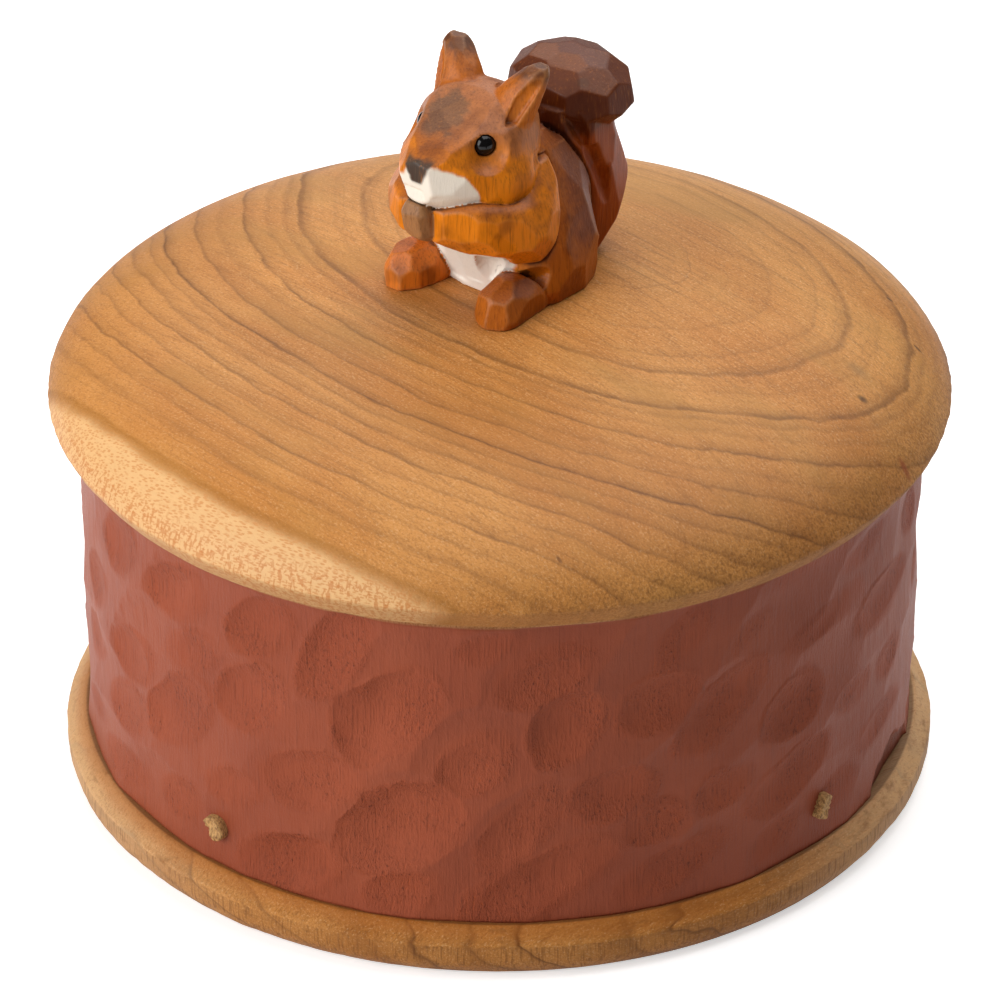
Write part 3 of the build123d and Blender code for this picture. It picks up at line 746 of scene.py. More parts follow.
# Pegs: the flats where each dowel is split, as degrees seen from outside and distance from its middle
PEG_SPLITS = {
    "peg_front": ((215, 1.0),), "peg_left": ((155, 1.2), (-25, 1.2)), "peg_rear": ((150, 0.8),),
    "peg_right": ((-12, 0.6),),
}
PEG_SIDES = 40
# A peg from its buried to its torn end: shares of its radius and length, and the share that stays whole
PEG_ROWS = [(0.8, 0.0), (0.97, 0.03), (0.97, 0.5), (0.97, 0.8), (0.96, 0.93), (0.94, 0.97)]
PEG_ROWS += [(share, 1.0) for share in np.linspace(0.9, 0.1, 8)]
PEG_WHOLE = 0.4
# Waves of a split side, their depth, and the reach, mean depth and unevenness of the torn end
SPLIT_WAVES, SPLIT_DEPTH = 9, 0.2
TORN_REACH, TORN_DEPTH, TORN_UNEVEN = 0.9, 0.35, 0.45


def split_outline(turn, flats):
    """Distances from the middle of a dowel to its outline, split along flat sides."""
    outline = np.full(len(turn), PEG_DIAMETER / 2)
    for side, place in flats:
        toward = np.maximum(np.cos(turn - math.radians(side)), 1e-3)
        outline = np.minimum(outline, (place + SPLIT_DEPTH * np.sin(SPLIT_WAVES * turn)) / toward)
    return outline


def make_pegs():
    """Split dowels, each with flat torn sides and its own ragged end."""
    material = peg_wood()
    turn = np.arange(PEG_SIDES) * 2 * np.pi / PEG_SIDES
    for count, (name, flats) in enumerate(PEG_SPLITS.items()):
        low, high = size_of(name)
        middle = (low + high) / 2
        out = np.round(middle * (1, 1, 0) / np.linalg.norm(middle[:2]))
        side = np.cross((0, 0, 1), out)
        length = abs((high - low) @ out)
        start = abs(middle @ out) - length / 2
        rows = []
        for share, reach in PEG_ROWS:
            outline = share * split_outline(turn, flats if reach > PEG_WHOLE else ())
            across = np.outer(outline * np.cos(turn), side) + np.outer(outline * np.sin(turn), (0, 0, 1))
            rows.append(across + (start + length * reach) * out + (0, 0, middle[2]))
        points = np.vstack(rows)
        torn = smoothstep(start + length - TORN_REACH, start + length, points @ out)
        points = points - np.outer(torn * (TORN_DEPTH + TORN_UNEVEN * noise(points, 1.0, 20 + count)), out)
        ends = points[:PEG_SIDES].mean(0), points[-PEG_SIDES:].mean(0)
        points, faces = with_poles(points, ring_grid(len(rows), PEG_SIDES), PEG_SIDES, *ends)
        piece = add_mesh(name.replace("peg", "split_peg"), points, faces)
        piece.data.materials.append(material)
        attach(piece, "box")
        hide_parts(name)


# Lid: columns and rows of its mesh, innermost row, where rows draw closer, and its edge, inward and down
LID_COLUMNS, DOME_ROWS = 480, 40
DOME_CORE, DOME_SHOULDER = 2.0, 62.0
LID_EDGE = ((0.1, 0.35), (0.4, 0.9))
# Sanding by hand: radii where it starts and where the rim wavers, and the lid's lean and its side in degrees
SANDED, WAVERING, NICKED = (26, 45), (60, 78), (77, 80)
LID_LEAN, LID_LEAN_SIDE = 0.5, -90
# Unevenness of the dome and of the rim: strength, size, seed and upright squeeze
DOME_SWELL, DOME_RIPPLE = (0.22, 24, 6, 1), (0.07, 6, 7, 1)
RIM_WAVER, RIM_NICKS = (0.25, 22, 8, 1), (0.10, 1.5, 13, 0.4)
FIGURE_REACH = 22.0
HOLE_SIDES = 32


def dome_profile():
    """Radii and heights of the lid's top, read from its solid, and the rim's height."""
    points = np.array([v.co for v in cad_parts["lid"].data.vertices]) / MM
    r = np.hypot(points[:, 0], points[:, 1])
    z = points[:, 2]
    rim = z[r > r.max() - 0.02].mean()
    away = np.hypot(points[:, 0] - FIGURE_ORIGIN[0], points[:, 1] - FIGURE_ORIGIN[1]) > FIGURE_REACH
    keep = (z >= rim - 0.01) & (away | (z > LID_CROWN - 0.005))
    order = np.argsort(r[keep])
    return r[keep][order], z[keep][order], rim


DOME_RADII, DOME_HEIGHTS, LID_RIM = dome_profile()


def dome_height(x, y):
    return np.interp(np.hypot(x, y), DOME_RADII, DOME_HEIGHTS)


def lid_profile():
    """Radii and heights of the lid from the middle of its top to the edge of its spigot's underside."""
    reach, spigot = DOME_RADII[-1], BORE_RADIUS - LID_PLAY
    closer = np.sin(np.linspace(0, np.pi / 2, DOME_ROWS))[1:]
    inner = np.linspace(DOME_CORE, DOME_SHOULDER, DOME_ROWS)
    radii = np.concatenate([inner, DOME_SHOULDER + (reach - DOME_SHOULDER) * closer])
    profile = [(r, float(np.interp(r, DOME_RADII, DOME_HEIGHTS))) for r in radii]
    first, second = [(reach - inward, LID_RIM - down) for inward, down in LID_EDGE]
    bevel = (LID_HIGH[0] - LID_BEVEL_WIDTH, LID_SEAT + LID_BEVEL_FOOT)
    shoulder = (spigot, LID_LOW[2] + LID_SPIGOT_BEVEL)
    profile += [first] + spread(second, bevel, 5) + spread(bevel, (WALL_RADIUS, LID_SEAT), 3)
    profile += spread((WALL_RADIUS, LID_SEAT), (spigot, LID_SEAT), 4)
    profile += spread((spigot, LID_SEAT), shoulder, 3)
    return profile + [shoulder, (spigot - LID_SPIGOT_BEVEL, LID_LOW[2])]


def make_lid():
    """The domed lid, sanded by hand, with its spigot and the countersunk holes of the two screws."""
    profile = lid_profile()
    angle, r, z = turned_points(profile, LID_COLUMNS)
    flat = polar(angle, r, z)
    hand = smoothstep(*SANDED, r) * (z > LID_SEAT + 0.2)
    top = smoothstep(LID_RIM - 1, LID_RIM + 3, z)
    lean = LID_LEAN * np.cos(around(angle, LID_LEAN_SIDE)) * (r / DOME_RADII[-1]) ** 2 * top
    z = z + hand * (layered(flat, DOME_SWELL) * top + layered(flat, DOME_RIPPLE) + lean)
    waver = layered(flat, RIM_WAVER) + layered(flat, RIM_NICKS) * smoothstep(*NICKED, r)
    r = r + hand * smoothstep(*WAVERING, r) * waver
    points = polar(angle, r, z)
    faces = ring_grid(len(profile), LID_COLUMNS)
    faces += [(len(points), (c + 1) % LID_COLUMNS, c) for c in range(LID_COLUMNS)]
    points = np.vstack([points, (0, 0, LID_CROWN)])
    piece = add_mesh("lid_board", points, [f[::-1] for f in faces])
    close_underside(piece, (len(profile) - 1) * LID_COLUMNS)
    piece.data.materials.append(lid_wood())
    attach(piece, "lid")
    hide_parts("lid")


def screw_hole(shape, name):
    """Adds the countersunk hole of a screw to the lid's shape and returns the points of its mouth."""
    middle = sum(size_of(name)) / 2
    floor = LID_LOW[2]
    levels = (
        (SCREW_HEAD_RADIUS, floor), (SCREW_HEAD_RADIUS, floor + SCREW_SINK),
        (SCREW_SHANK_RADIUS, floor + SCREW_SINK + SCREW_HEAD_HEIGHT), (SCREW_SHANK_RADIUS, LID_CROWN - 1),
    )
    turns = np.arange(HOLE_SIDES) * 2 * np.pi / HOLE_SIDES
    loops = []
    for radius, level in levels:
        points = polar(turns, radius, np.full(HOLE_SIDES, level)) + (middle[0], middle[1], 0)
        loops.append([shape.verts.new(point) for point in points * MM])
    for lower, upper in zip(loops, loops[1:]):
        for c in range(HOLE_SIDES):
            d = (c + 1) % HOLE_SIDES
            shape.faces.new((lower[d], lower[c], upper[c], upper[d])).smooth = True
    shape.faces.new(loops[-1][::-1])
    return loops[0]


def close_underside(piece, first):
    """Closes the spigot's underside round the two countersunk holes."""
    shape = bmesh.new()
    shape.from_mesh(piece.data)
    shape.verts.ensure_lookup_table()
    borders = [[shape.verts[first + c] for c in range(LID_COLUMNS)]]
    borders += [screw_hole(shape, name) for name in ("squirrel_screw_front", "squirrel_screw_rear")]
    edges = [shape.edges.get(pair) for border in borders for pair in zip(border, border[1:] + border[:1])]
    bmesh.ops.triangle_fill(shape, use_beauty=True, edges=edges)
    bmesh.ops.recalc_face_normals(shape, faces=shape.faces)
    shape.to_mesh(piece.data)
    shape.free()


# Squirrel: a field of distances to its surface, carved part by part on a grid of small cells
CELL = 0.3
FIELD_LOW = np.array([-18.0, -27.0, -4.0])
FIELD_HIGH = np.array([18.0, 32.0, 48.0])
FAR_OUT = 50.0
SIDES = (1, -1)
# Forms of stacked ovals: samples along them, how far and how softly they are smoothed, and the margin round them
STACK_SAMPLES, STACK_REACH, STACK_SOFT, STACK_MARGIN = 80, 9, 4.0, 4.0
# Each form is a row of ovals: place along its axis, the oval's middle across it and its two half sizes
TORSO = [
    (-3, 0, 4, 10.6, 11), (3, 0, 3, 12, 12), (12, 0, 0.5, 12.6, 14), (20, 0, -1, 12, 13),
    (27, 0, -2, 10, 10.5), (32, 0, -4, 6, 5),
]
HAUNCH = [
    (-3, 8.6, 2.4, 5.8, 9), (4, 9.2, 1.6, 6.8, 11.2), (10.5, 8.8, 3.8, 6.8, 9.8),
    (19, 7.2, 4.6, 5.2, 8.0), (26, 6, 3.2, 3, 5),
]
FOOT = [
    (-17.5, 11.2, 0.6, 1.4, 1.6), (-16.8, 11.1, 1.2, 2.8, 3.0), (-15.2, 11.0, 1.7, 4.2, 4.4),
    (-11.5, 10.7, 2.0, 4.8, 5.0), (-6.5, 10.2, 1.8, 4.8, 4.8), (-3, 9.6, 1.4, 4.4, 4.2),
]
UPPER_ARM = [
    (9.6, 11.2, -6.4, 2.8, 3.2), (13.5, 11.6, -6.4, 4.5, 4.9), (18, 11.2, -5.2, 4.6, 5.2),
    (23, 10, -3.6, 3.9, 4.7), (26.5, 9, -2.4, 2.4, 3),
]
FOREARM = [
    (-20.8, 3.6, 18.2, 2.8, 3.2), (-18.6, 5.6, 18.2, 4.6, 4.6), (-15, 8.2, 17.6, 5.0, 5.4),
    (-10, 11, 16.5, 4.7, 5.6), (-5.5, 11.8, 15.6, 4.0, 5.2), (-2.8, 11.6, 15.0, 2.6, 3.8),
]
NUT = [
    (14.4, -0.6, -19, 1.8, 1.8), (16.2, -0.6, -19.8, 3.1, 3.1), (20.4, -0.6, -20.6, 3.1, 3.1),
    (22.4, -0.6, -20.9, 2.0, 2.0),
]
HEAD = [
    (-22.6, 0, 26.8, 3.6, 3.8), (-19.2, 0, 26.9, 7.0, 6.3), (-14.5, 0, 27.6, 10.3, 8.4),
    (-8.5, 0, 28.8, 11.6, 10.1), (-1, 0, 29.9, 9.8, 8.8), (3.5, 0, 30.2, 5.6, 5),
]
CHEEK = [
    (-14.5, 7.4, 24.6, 2.6, 2.6), (-11.5, 8.2, 24.8, 4.2, 4.4), (-7, 8.6, 25.2, 4.4, 4.8),
    (-3, 8.2, 25.8, 3.0, 3.2),
]
EAR = [
    (33, 5.1, -5.2, 4.8, 4.1), (36.5, 6.0, -4.1, 4.7, 3.8), (40, 7.5, -2.7, 4.1, 3.1),
    (42.4, 8.8, -1.5, 3.1, 2.4), (43.7, 9.4, -1.0, 2.2, 1.8), (44.4, 9.7, -0.7, 1.0, 0.9),
]
EAR_HOLLOW = [
    (35.0, 8.8, -7.8, 1.2, 1.2), (39, 10.2, -6.0, 2.0, 2.0), (42, 11.4, -4.4, 1.9, 1.9),
    (45, 12.0, -3.4, 1.0, 1.0),
]
TAIL = [
    (-3, 0, 13, 6.8, 5.8), (3, 0, 16.8, 9.2, 7.6), (13, 0, 20.0, 9.8, 8.3), (25.4, 0, 15.2, 9.8, 7.9),
    (30, 0, 16.6, 9.8, 8.6),
]
# The tail's tip: its middle, half sizes and rows of flats, with their rise, count and turn in degrees
TIP_MIDDLE = (0.0, 18.5, 30.2)
TIP_HALF_SIZES = (12.0, 9.8, 7.4)
TIP_FLATS = ((-32, 9, 20), (6, 9, 0), (38, 8, 22), (66, 5, 10), (90, 1, 0))
TIP_INSET = 0.955
# Eyes: the dish round each bead, which way it opens, and the gap round the bead
EYE_DISH_RADIUS = 5.2
EYE_DISH_BOTTOM = 0.9
EYE_OUTWARD = np.array([0.84, -0.525, 0.14])
EYE_GAP = 0.06
# Broad knife cuts that shape the face: a point on each, the way that it faces and how far it goes
FOREHEAD_CUT = ((0.0, -6.5, 38.6), (0.0, -0.44, 0.898), (-12, -25, 28), (12, -4, 44))
TEMPLE_CUT = ((8.9, -12.6, 32.8), (0.74, -0.48, 0.47))
TEMPLE_REACH = 5.5
FORMS = ("torso", "haunch", "tail", "foot", "head", "ear", "arm", "nut")
# How wide the knife cuts on each form are, and how deep they may go where it is straight one way
FACET_SIZES = (7.2, 7.6, 9.0, 5.0, 6.2, 2.6, 5.6, 3.8)
FACET_BITES = (0.6, 0.6, 0.4, 0.15, 0.3, 0.2, 0.25, 0.3)
# Forms that cuts on their neighbours stop at
STAND_OUT = [FORMS.index(name) for name in ("foot", "arm", "ear", "nut")]
# Places tried, the step between cuts in shares of their reach, and the lowest and mean rise that take one
CUT_TRIES, CUT_STEP, CUT_LOWEST, CUT_MEAN = 9000, 1.25, -0.12, 0.06
CUT_SEED = 11


def ahead_of(place, spot, normal):
    """How far places lie in front of a plane through a spot."""
    return sum((place[k] - spot[k]) * normal[k] for k in range(3))


class Carving:
    """A solid kept as distances to its surface, negative inside, with each cell's form and tone."""

    def __init__(self):
        self.counts = np.ceil((FIELD_HIGH - FIELD_LOW) / CELL).astype(int)
        self.axes = [FIELD_LOW[k] + CELL * np.arange(self.counts[k]) for k in range(3)]
        self.field = np.full(self.counts, FAR_OUT, np.float32)
        self.form = np.zeros(self.counts, np.int8)
        self.tone = np.zeros(self.counts, np.float32)

    def window(self, low, high):
        """The slices of the grid between two corners, and the coordinates there."""
        first = np.clip(np.floor((np.array(low) - FIELD_LOW) / CELL).astype(int), 0, self.counts - 2)
        last = np.clip(np.ceil((np.array(high) - FIELD_LOW) / CELL).astype(int) + 1, 2, self.counts)
        where = tuple(slice(a, b) for a, b in zip(first, last))
        return where, np.meshgrid(*(self.axes[k][where[k]] for k in range(3)), indexing="ij", sparse=True)

    def stacked(self, rows, axis, side=1, roundness=2.3):
        """Distances to a form of stacked ovals, on the slices that it needs."""
        rows = np.array(rows, float)
        rows[:, 1] *= side
        fine = np.linspace(rows[0, 0], rows[-1, 0], STACK_SAMPLES)
        soft = np.exp(-0.5 * (np.arange(-STACK_REACH, STACK_REACH + 1) / STACK_SOFT) ** 2)
        soft /= soft.sum()
        curves = []
        for column in rows.T[1:]:
            line = np.interp(fine, rows[:, 0], column)
            line = np.pad(line, STACK_REACH, mode="reflect", reflect_type="odd")
            curves.append(np.convolve(line, soft, "valid"))
        across = [a for a in (0, 1, 2) if a != axis]
        low, high = np.zeros(3), np.zeros(3)
        low[axis], high[axis] = fine[0] - STACK_MARGIN, fine[-1] + STACK_MARGIN
        for a, middle, half in ((across[0], 1, 3), (across[1], 2, 4)):
            low[a] = (rows[:, middle] - rows[:, half]).min() - STACK_MARGIN
            high[a] = (rows[:, middle] + rows[:, half]).max() + STACK_MARGIN
        where, place = self.window(low, high)
        m1, m2, h1, h2 = (np.interp(place[axis], fine, c) for c in curves)
        u, v = np.abs(place[across[0]] - m1) / h1, np.abs(place[across[1]] - m2) / h2
        rim = (u ** roundness + v ** roundness) ** (1 / roundness)
        distance = (rim - 1) * np.minimum(h1, h2)
        distance = np.maximum(distance, np.maximum(fine[0] - place[axis], place[axis] - fine[-1]))
        slope = np.sqrt(sum(g * g for g in np.gradient(distance, CELL)))
        return where, distance / np.clip(slope, 0.6, 3.0)

    def join(self, where, distance, form, blend=0.0, groove=0.0):
        """Adds a form, with a soft blend or a knife groove along the line where it meets the rest."""
        number = FORMS.index(form)
        old = self.field[where]
        if groove:
            old = np.maximum(old, (old + groove - np.abs(distance)) * 0.7071)
        distance = np.asarray(distance, np.float32)
        self.form[where] = np.where(distance < old, number, self.form[where])
        new = np.minimum(old, distance)
        if blend:
            near = np.clip(blend - np.abs(old - distance), 0, None)
            new = new - near * near / (4 * blend)
        self.field[where] = new

    def cut(self, where, distance):
        """Takes away what lies inside a form."""
        self.field[where] = np.maximum(self.field[where], -distance)

    def shave(self, spot, normal, low, high):
        """Takes away what stands in front of a plane, between two corners."""
        where, place = self.window(low, high)
        plane = ahead_of(place, spot, np.array(normal) / np.linalg.norm(normal))
        self.field[where] = np.maximum(self.field[where], plane)

    def whittled_tip(self, chance):
        """Distances to the tail's tip: an oval cut to rows of flats, each with its own tone."""
        middle, half = np.array(TIP_MIDDLE), np.array(TIP_HALF_SIZES)
        where, place = self.window(middle - half - 3, middle + half + 3)
        distance = np.full(self.field[where].shape, -FAR_OUT)
        tone = np.zeros_like(distance)
        for rise, count, start in TIP_FLATS:
            tall = math.radians(rise)
            for turn in np.radians(start + 360 * np.arange(count) / count):
                level = math.cos(tall)
                way = np.array([math.cos(turn) * level, math.sin(turn) * level, math.sin(tall)])
                normal = way / half / np.linalg.norm(way / half)
                flat = ahead_of(place, middle + TIP_INSET * half * way, normal)
                tone = np.where(flat > distance, chance.uniform(-1, 1), tone)
                distance = np.maximum(distance, flat)
        self.tone[where] = np.where(distance < self.field[where], tone, self.tone[where])
        return where, distance

    def ball(self, middle, radius):
        where, (x, y, z) = self.window(np.array(middle) - radius - 2, np.array(middle) + radius + 2)
        return where, np.sqrt((x - middle[0]) ** 2 + (y - middle[1]) ** 2 + (z - middle[2]) ** 2) - radius

    def sample(self, points):
        """Distances at any points, from the eight cells round each."""
        grid = (points - FIELD_LOW) / CELL
        corner = np.clip(np.floor(grid).astype(int), 0, self.counts - 2)
        share = grid - corner
        total = np.zeros(len(points))
        for step in itertools.product((0, 1), repeat=3):
            c = corner + np.array(step)
            total += np.prod(np.where(step, share, 1 - share), axis=1) * self.field[c[:, 0], c[:, 1], c[:, 2]]
        return total

    def facing(self, points):
        """The outward direction at points near the surface."""
        steps = np.eye(3) * CELL
        slope = np.stack([self.sample(points + s) - self.sample(points - s) for s in steps], 1)
        return slope / np.maximum(np.linalg.norm(slope, axis=1, keepdims=True), 1e-6)

    def nearest(self, grid, points):
        """What a grid of the carving holds in the cell nearest to each point."""
        near = np.clip(np.round((points - FIELD_LOW) / CELL).astype(int), 0, self.counts - 1)
        return grid[near[:, 0], near[:, 1], near[:, 2]]

    def whittle(self, chance):
        """Flattens rounded places with knife cuts about as wide as each form's size."""
        skin = np.argwhere(np.abs(self.field) < CELL * 0.6)
        points = FIELD_LOW + skin * CELL
        points = points[chance.permutation(len(points))[:CUT_TRIES]]
        points = points[points[:, 2] > 0.5]
        normals = self.facing(points)
        points = points - normals * self.sample(points)[:, None]
        forms = self.nearest(self.form, points)
        reach, bite = np.array(FACET_SIZES)[forms] / 2, np.array(FACET_BITES)[forms]
        chosen = []
        for k in range(len(points)):
            if not chosen or np.linalg.norm(points[chosen] - points[k], axis=1).min() > CUT_STEP * reach[k]:
                chosen.append(k)
        for k in chosen:
            wide, tone = reach[k] * chance.uniform(0.85, 1.25), chance.uniform(-1, 1)
            self.slice_off(points[k], normals[k], wide, bite[k], forms[k], tone)

    def slice_off(self, spot, normal, reach, bite, form, tone):
        """One knife cut at a spot, where the surface is rounded enough to take it, with its own tone."""
        side = np.cross(normal, (0.3, 0.5, 0.8))
        side /= np.linalg.norm(side)
        other = np.cross(normal, side)
        turns = np.arange(8) * np.pi / 4
        round_about = spot + reach * (np.outer(np.cos(turns), side) + np.outer(np.sin(turns), other))
        rise = self.sample(round_about)
        if rise.min() < CUT_LOWEST or rise.mean() < CUT_MEAN:
            return
        depth = min(0.85 * rise.mean(), bite + 1.5 * np.percentile(rise, 25))
        limit = 1.7 * reach
        where, place = self.window(spot - limit, spot + limit)
        dx, dy, dz = (place[k] - spot[k] for k in range(3))
        spread_out = (dx * dx + dy * dy + 0.45 * dz * dz) / (limit * limit)
        plane = ahead_of(place, spot, normal) + depth * (1 - spread_out * spread_out)
        spared = np.isin(self.form[where], STAND_OUT) & (self.form[where] != form)
        taken = (spread_out < 1) & (plane > self.field[where]) & ~spared
        self.field[where] = np.where(taken, plane, self.field[where])
        self.tone[where] = np.where(taken, tone, self.tone[where])

    def surface(self):
        """Points and quads where the field passes through zero, one point in each cell that it crosses."""
        inside = self.field < 0
        nx, ny, nz = self.counts - 1
        steps = list(itertools.product((0, 1), repeat=3))
        count = sum(inside[a:nx + a, b:ny + b, c:nz + c].astype(np.int8) for a, b, c in steps)
        cells = np.argwhere((count > 0) & (count < 8))
        index = np.full((nx, ny, nz), -1, np.int64)
        index[tuple(cells.T)] = np.arange(len(cells))
        values = np.stack([self.field[tuple((cells + s).T)] for s in np.array(steps)], 1).astype(float)
        total, hits = np.zeros((len(cells), 3)), np.zeros(len(cells))
        for i, j in itertools.combinations(range(8), 2):
            a, b = np.array(steps[i]), np.array(steps[j])
            if np.abs(a - b).sum() != 1:
                continue
            crossing = (values[:, i] < 0) != (values[:, j] < 0)
            share = values[:, i] / np.where(crossing, values[:, i] - values[:, j], 1)
            total += np.where(crossing[:, None], a + share[:, None] * (b - a), 0)
            hits += crossing
        points = FIELD_LOW + CELL * (cells + total / hits[:, None])
        return points, np.vstack([self.crossed_quads(inside, index, axis) for axis in range(3)])

    def crossed_quads(self, inside, index, axis):
        """A quad round each step along an axis that passes through the surface, facing outward."""
        b, c = (axis + 1) % 3, (axis + 2) % 3
        sb, sc = np.eye(3, dtype=int)[[b, c]]
        body = [slice(1, -1)] * 3
        ahead = list(body)
        ahead[axis] = slice(2, None)
        first, second = inside[tuple(body)], inside[tuple(ahead)]
        edge = np.argwhere(first != second) + 1
        loop = [edge - sb - sc, edge - sc, edge, edge - sb]
        quad = np.stack([index[tuple(p.T)] for p in loop], 1)
        flip = ~first[tuple((edge - 1).T)]
        quad[flip] = quad[flip][:, ::-1]
        return quad[(quad >= 0).all(1)]


def relaxed(points, quads, rounds, share=0.5):
    """Points drawn towards the mean of their neighbours, which takes the cells' steps off."""
    for _ in range(rounds):
        total, hits = np.zeros_like(points), np.zeros(len(points))
        for k in range(4):
            a, b = quads[:, k], quads[:, (k + 1) % 4]
            for p, q in ((a, b), (b, a)):
                np.add.at(total, p, points[q])
                np.add.at(hits, p, 1)
        points = points + share * (total / np.maximum(hits, 1)[:, None] - points)
    return points


def eye_beads():
    """Side, middle and radius of each bead, in the squirrel's own frame."""
    beads = []
    for name, side in zip(("eye_left", "eye_right"), SIDES):
        low, high = size_of(name)
        radius = (high[2] - low[2]) / 2
        outer = high[0] - radius if side > 0 else low[0] + radius
        middle = np.array([outer, low[1] + radius, low[2] + radius]) - (*FIGURE_ORIGIN, LID_CROWN)
        beads.append((side, middle, radius))
    return beads


def carve_head():
    head = Carving()
    head.join(*head.stacked(HEAD, 1), "head")
    for side in SIDES:
        head.join(*head.stacked(CHEEK, 1, side), "head", blend=1.6)
    head.shave(*FOREHEAD_CUT)
    for side in SIDES:
        spot, normal = (np.array(v) * (side, 1, 1) for v in TEMPLE_CUT)
        head.shave(spot, normal, spot - TEMPLE_REACH, spot + TEMPLE_REACH)
    return head


def carve_arms():
    arms = Carving()
    for side in SIDES:
        arms.join(*arms.stacked(UPPER_ARM, 2, side), "arm")
        arms.join(*arms.stacked(FOREARM, 1, side), "arm", blend=2.5)
    return arms


def carve_squirrel():
    """The whole figure: forms joined from the body outward, knife cuts, hollows and a foot that fits the lid."""
    carving = Carving()
    carving.join(*carving.stacked(TORSO, 2), "torso")
    for side in SIDES:
        carving.join(*carving.stacked(HAUNCH, 2, side), "haunch", blend=1.5)
    carving.join(*carving.stacked(TAIL, 2), "tail", groove=0.3)
    for side in SIDES:
        carving.join(*carving.stacked(FOOT, 1, side), "foot", groove=0.3)
    carving.join(Ellipsis, carve_arms().field, "arm", groove=0.6)
    carving.join(Ellipsis, carve_head().field, "head", groove=0.25)
    for side in SIDES:
        carving.join(*carving.stacked(EAR, 2, side), "ear", blend=0.8)
    carving.join(*carving.stacked(NUT, 2, roundness=2.8), "nut", groove=0.3)
    chance = np.random.default_rng(CUT_SEED)
    carving.whittle(chance)
    carving.join(*carving.whittled_tip(chance), "tail")
    for side in SIDES:
        carving.cut(*carving.stacked(EAR_HOLLOW, 2, side, roundness=1.3))
    for side, middle, radius in eye_beads():
        outward = EYE_OUTWARD * (side, 1, 1)
        carving.cut(*carving.ball(middle + outward * (EYE_DISH_BOTTOM + EYE_DISH_RADIUS), EYE_DISH_RADIUS))
        carving.cut(*carving.ball(middle, radius + EYE_GAP))
    x, y, z = np.meshgrid(*carving.axes, indexing="ij", sparse=True)
    floor = dome_height(x + FIGURE_ORIGIN[0], y + FIGURE_ORIGIN[1]) - LID_CROWN + 0.02
    carving.field = np.maximum(carving.field, (floor - z).astype(np.float32))
    return carving


# Upper border of the white chin: places along the head and heights there
CHIN_BORDER = ((-23.0, -20.8, -18.1, -16.2, -15.4), (30.0, 29.8, 28.3, 25.2, 22.8))
# The figure's first stain, then what is laid over it in turn: tone and strength
FIRST_STAIN = (226, 128, 16)
FIGURE_TONES = {
    # The back's tone is a darker stain, made greyer as a painted sheen
    "upper": ((146, 76, 30), 0.7), "body": ((156, 78, 18), 0.7), "back": ((122, 64, 36), 0.9),
    # The feet are one stain in two copies: the near foot with painted shade, the far foot with painted light
    "tail": ((98, 45, 18), 0.92), "stem": ((168, 74, 8), 0.85), "near_foot_shaded": ((164, 84, 20), 0.8),
    "far_foot_lit": ((222, 122, 40), 0.8), "brow": ((168, 106, 68), 0.75), "patch": ((98, 74, 56), 0.75),
    "ear": ((176, 92, 22), 0.7), "ear_tip": ((82, 54, 36), 0.85), "chin": ((242, 232, 216), 1.0),
    "belly": ((246, 240, 228), 1.0), "nose": ((70, 58, 48), 1.0), "nut": ((160, 114, 74), 1.0),
    "spots": ((76, 44, 28), 0.6),
}


def figure_regions(points, normals, forms):
    """How much of each tone the points take: browner above and behind, white chin and belly, dark nose."""
    x, y, z = points.T
    blur = layered(points, (0.7, 1.6, 31, 1), (0.4, 0.6, 32, 1))
    on = {name: forms == k for k, name in enumerate(FORMS)}
    trunk = on["torso"] | on["haunch"]
    face, ear, tail = on["head"], on["ear"], on["tail"]
    behind = smoothstep(-2, 7, y + 2 * blur) * smoothstep(4, 12, z + blur)
    patch = 1 - np.hypot((x + 2.0) / 5.5, (y + 12.5) / 6.0)
    border = np.interp(y, *CHIN_BORDER) - 2.3 * smoothstep(-1.5, -3.0, x)
    chin = smoothstep(-0.4, 0.4, border - z + 0.5 * blur) * smoothstep(-15.0, -15.8, y + 0.4 * blur)
    belly = smoothstep(0.05, 0.25, -normals[:, 1] + 0.1 * blur) * smoothstep(13.5, 12.5, z)
    belly = belly * smoothstep(0.4, -0.4, np.abs(x) - 6.2 - 0.45 * z + 0.6 * blur)
    nose = smoothstep(0.4, -0.3, np.abs(x) - 1.0 - 0.52 * (z - 26.6) + 0.4 * blur) * smoothstep(26.3, 26.8, z)
    nose = nose * smoothstep(31.2, 30.4, z + 0.4 * blur) * smoothstep(-19.2, -19.8, y + 0.3 * blur)
    return {
        "upper": smoothstep(0.15, 0.85, normals[:, 2] + 0.3 * blur),
        "body": trunk * smoothstep(-10, -3, y + blur),
        # Darker stain on the back, greyed as a painted sheen
        "back": behind * ~face * ~ear,
        "tail": tail,
        "stem": tail * smoothstep(27, 24, z + blur),
        # Painted shade on the near foot and painted light on the far foot
        "near_foot_shaded": on["foot"] * (x > 0),
        "far_foot_lit": on["foot"] * (x < 0),
        "brow": face * smoothstep(30.5, 35, z + 0.3 * (y + 14) + blur),
        "patch": face * smoothstep(0.0, 0.5, patch + 0.35 * blur) * smoothstep(31, 34, z),
        "ear": ear,
        "ear_tip": ear * smoothstep(40.5, 43.5, z + blur),
        "chin": face * chin,
        "belly": trunk * belly,
        "nose": face * nose,
        "nut": on["nut"],
        "spots": tail * smoothstep(0.4, 0.6, noise(points, 3.4, 33)) * smoothstep(26, 31, z),
    }


def squirrel_colours(points, normals, forms):
    """Stain and paint for each point, and how white it is."""
    regions = figure_regions(points, normals, forms)
    colour = np.tile(srgb(*FIRST_STAIN), (len(points), 1))
    for name, (tone, strength) in FIGURE_TONES.items():
        share = (regions[name] * strength)[:, None]
        colour = colour * (1 - share) + np.array(srgb(*tone)) * share
    white = np.clip(regions["chin"] + regions["belly"], 0, 1)
    return colour, white * (1 - regions["nose"])


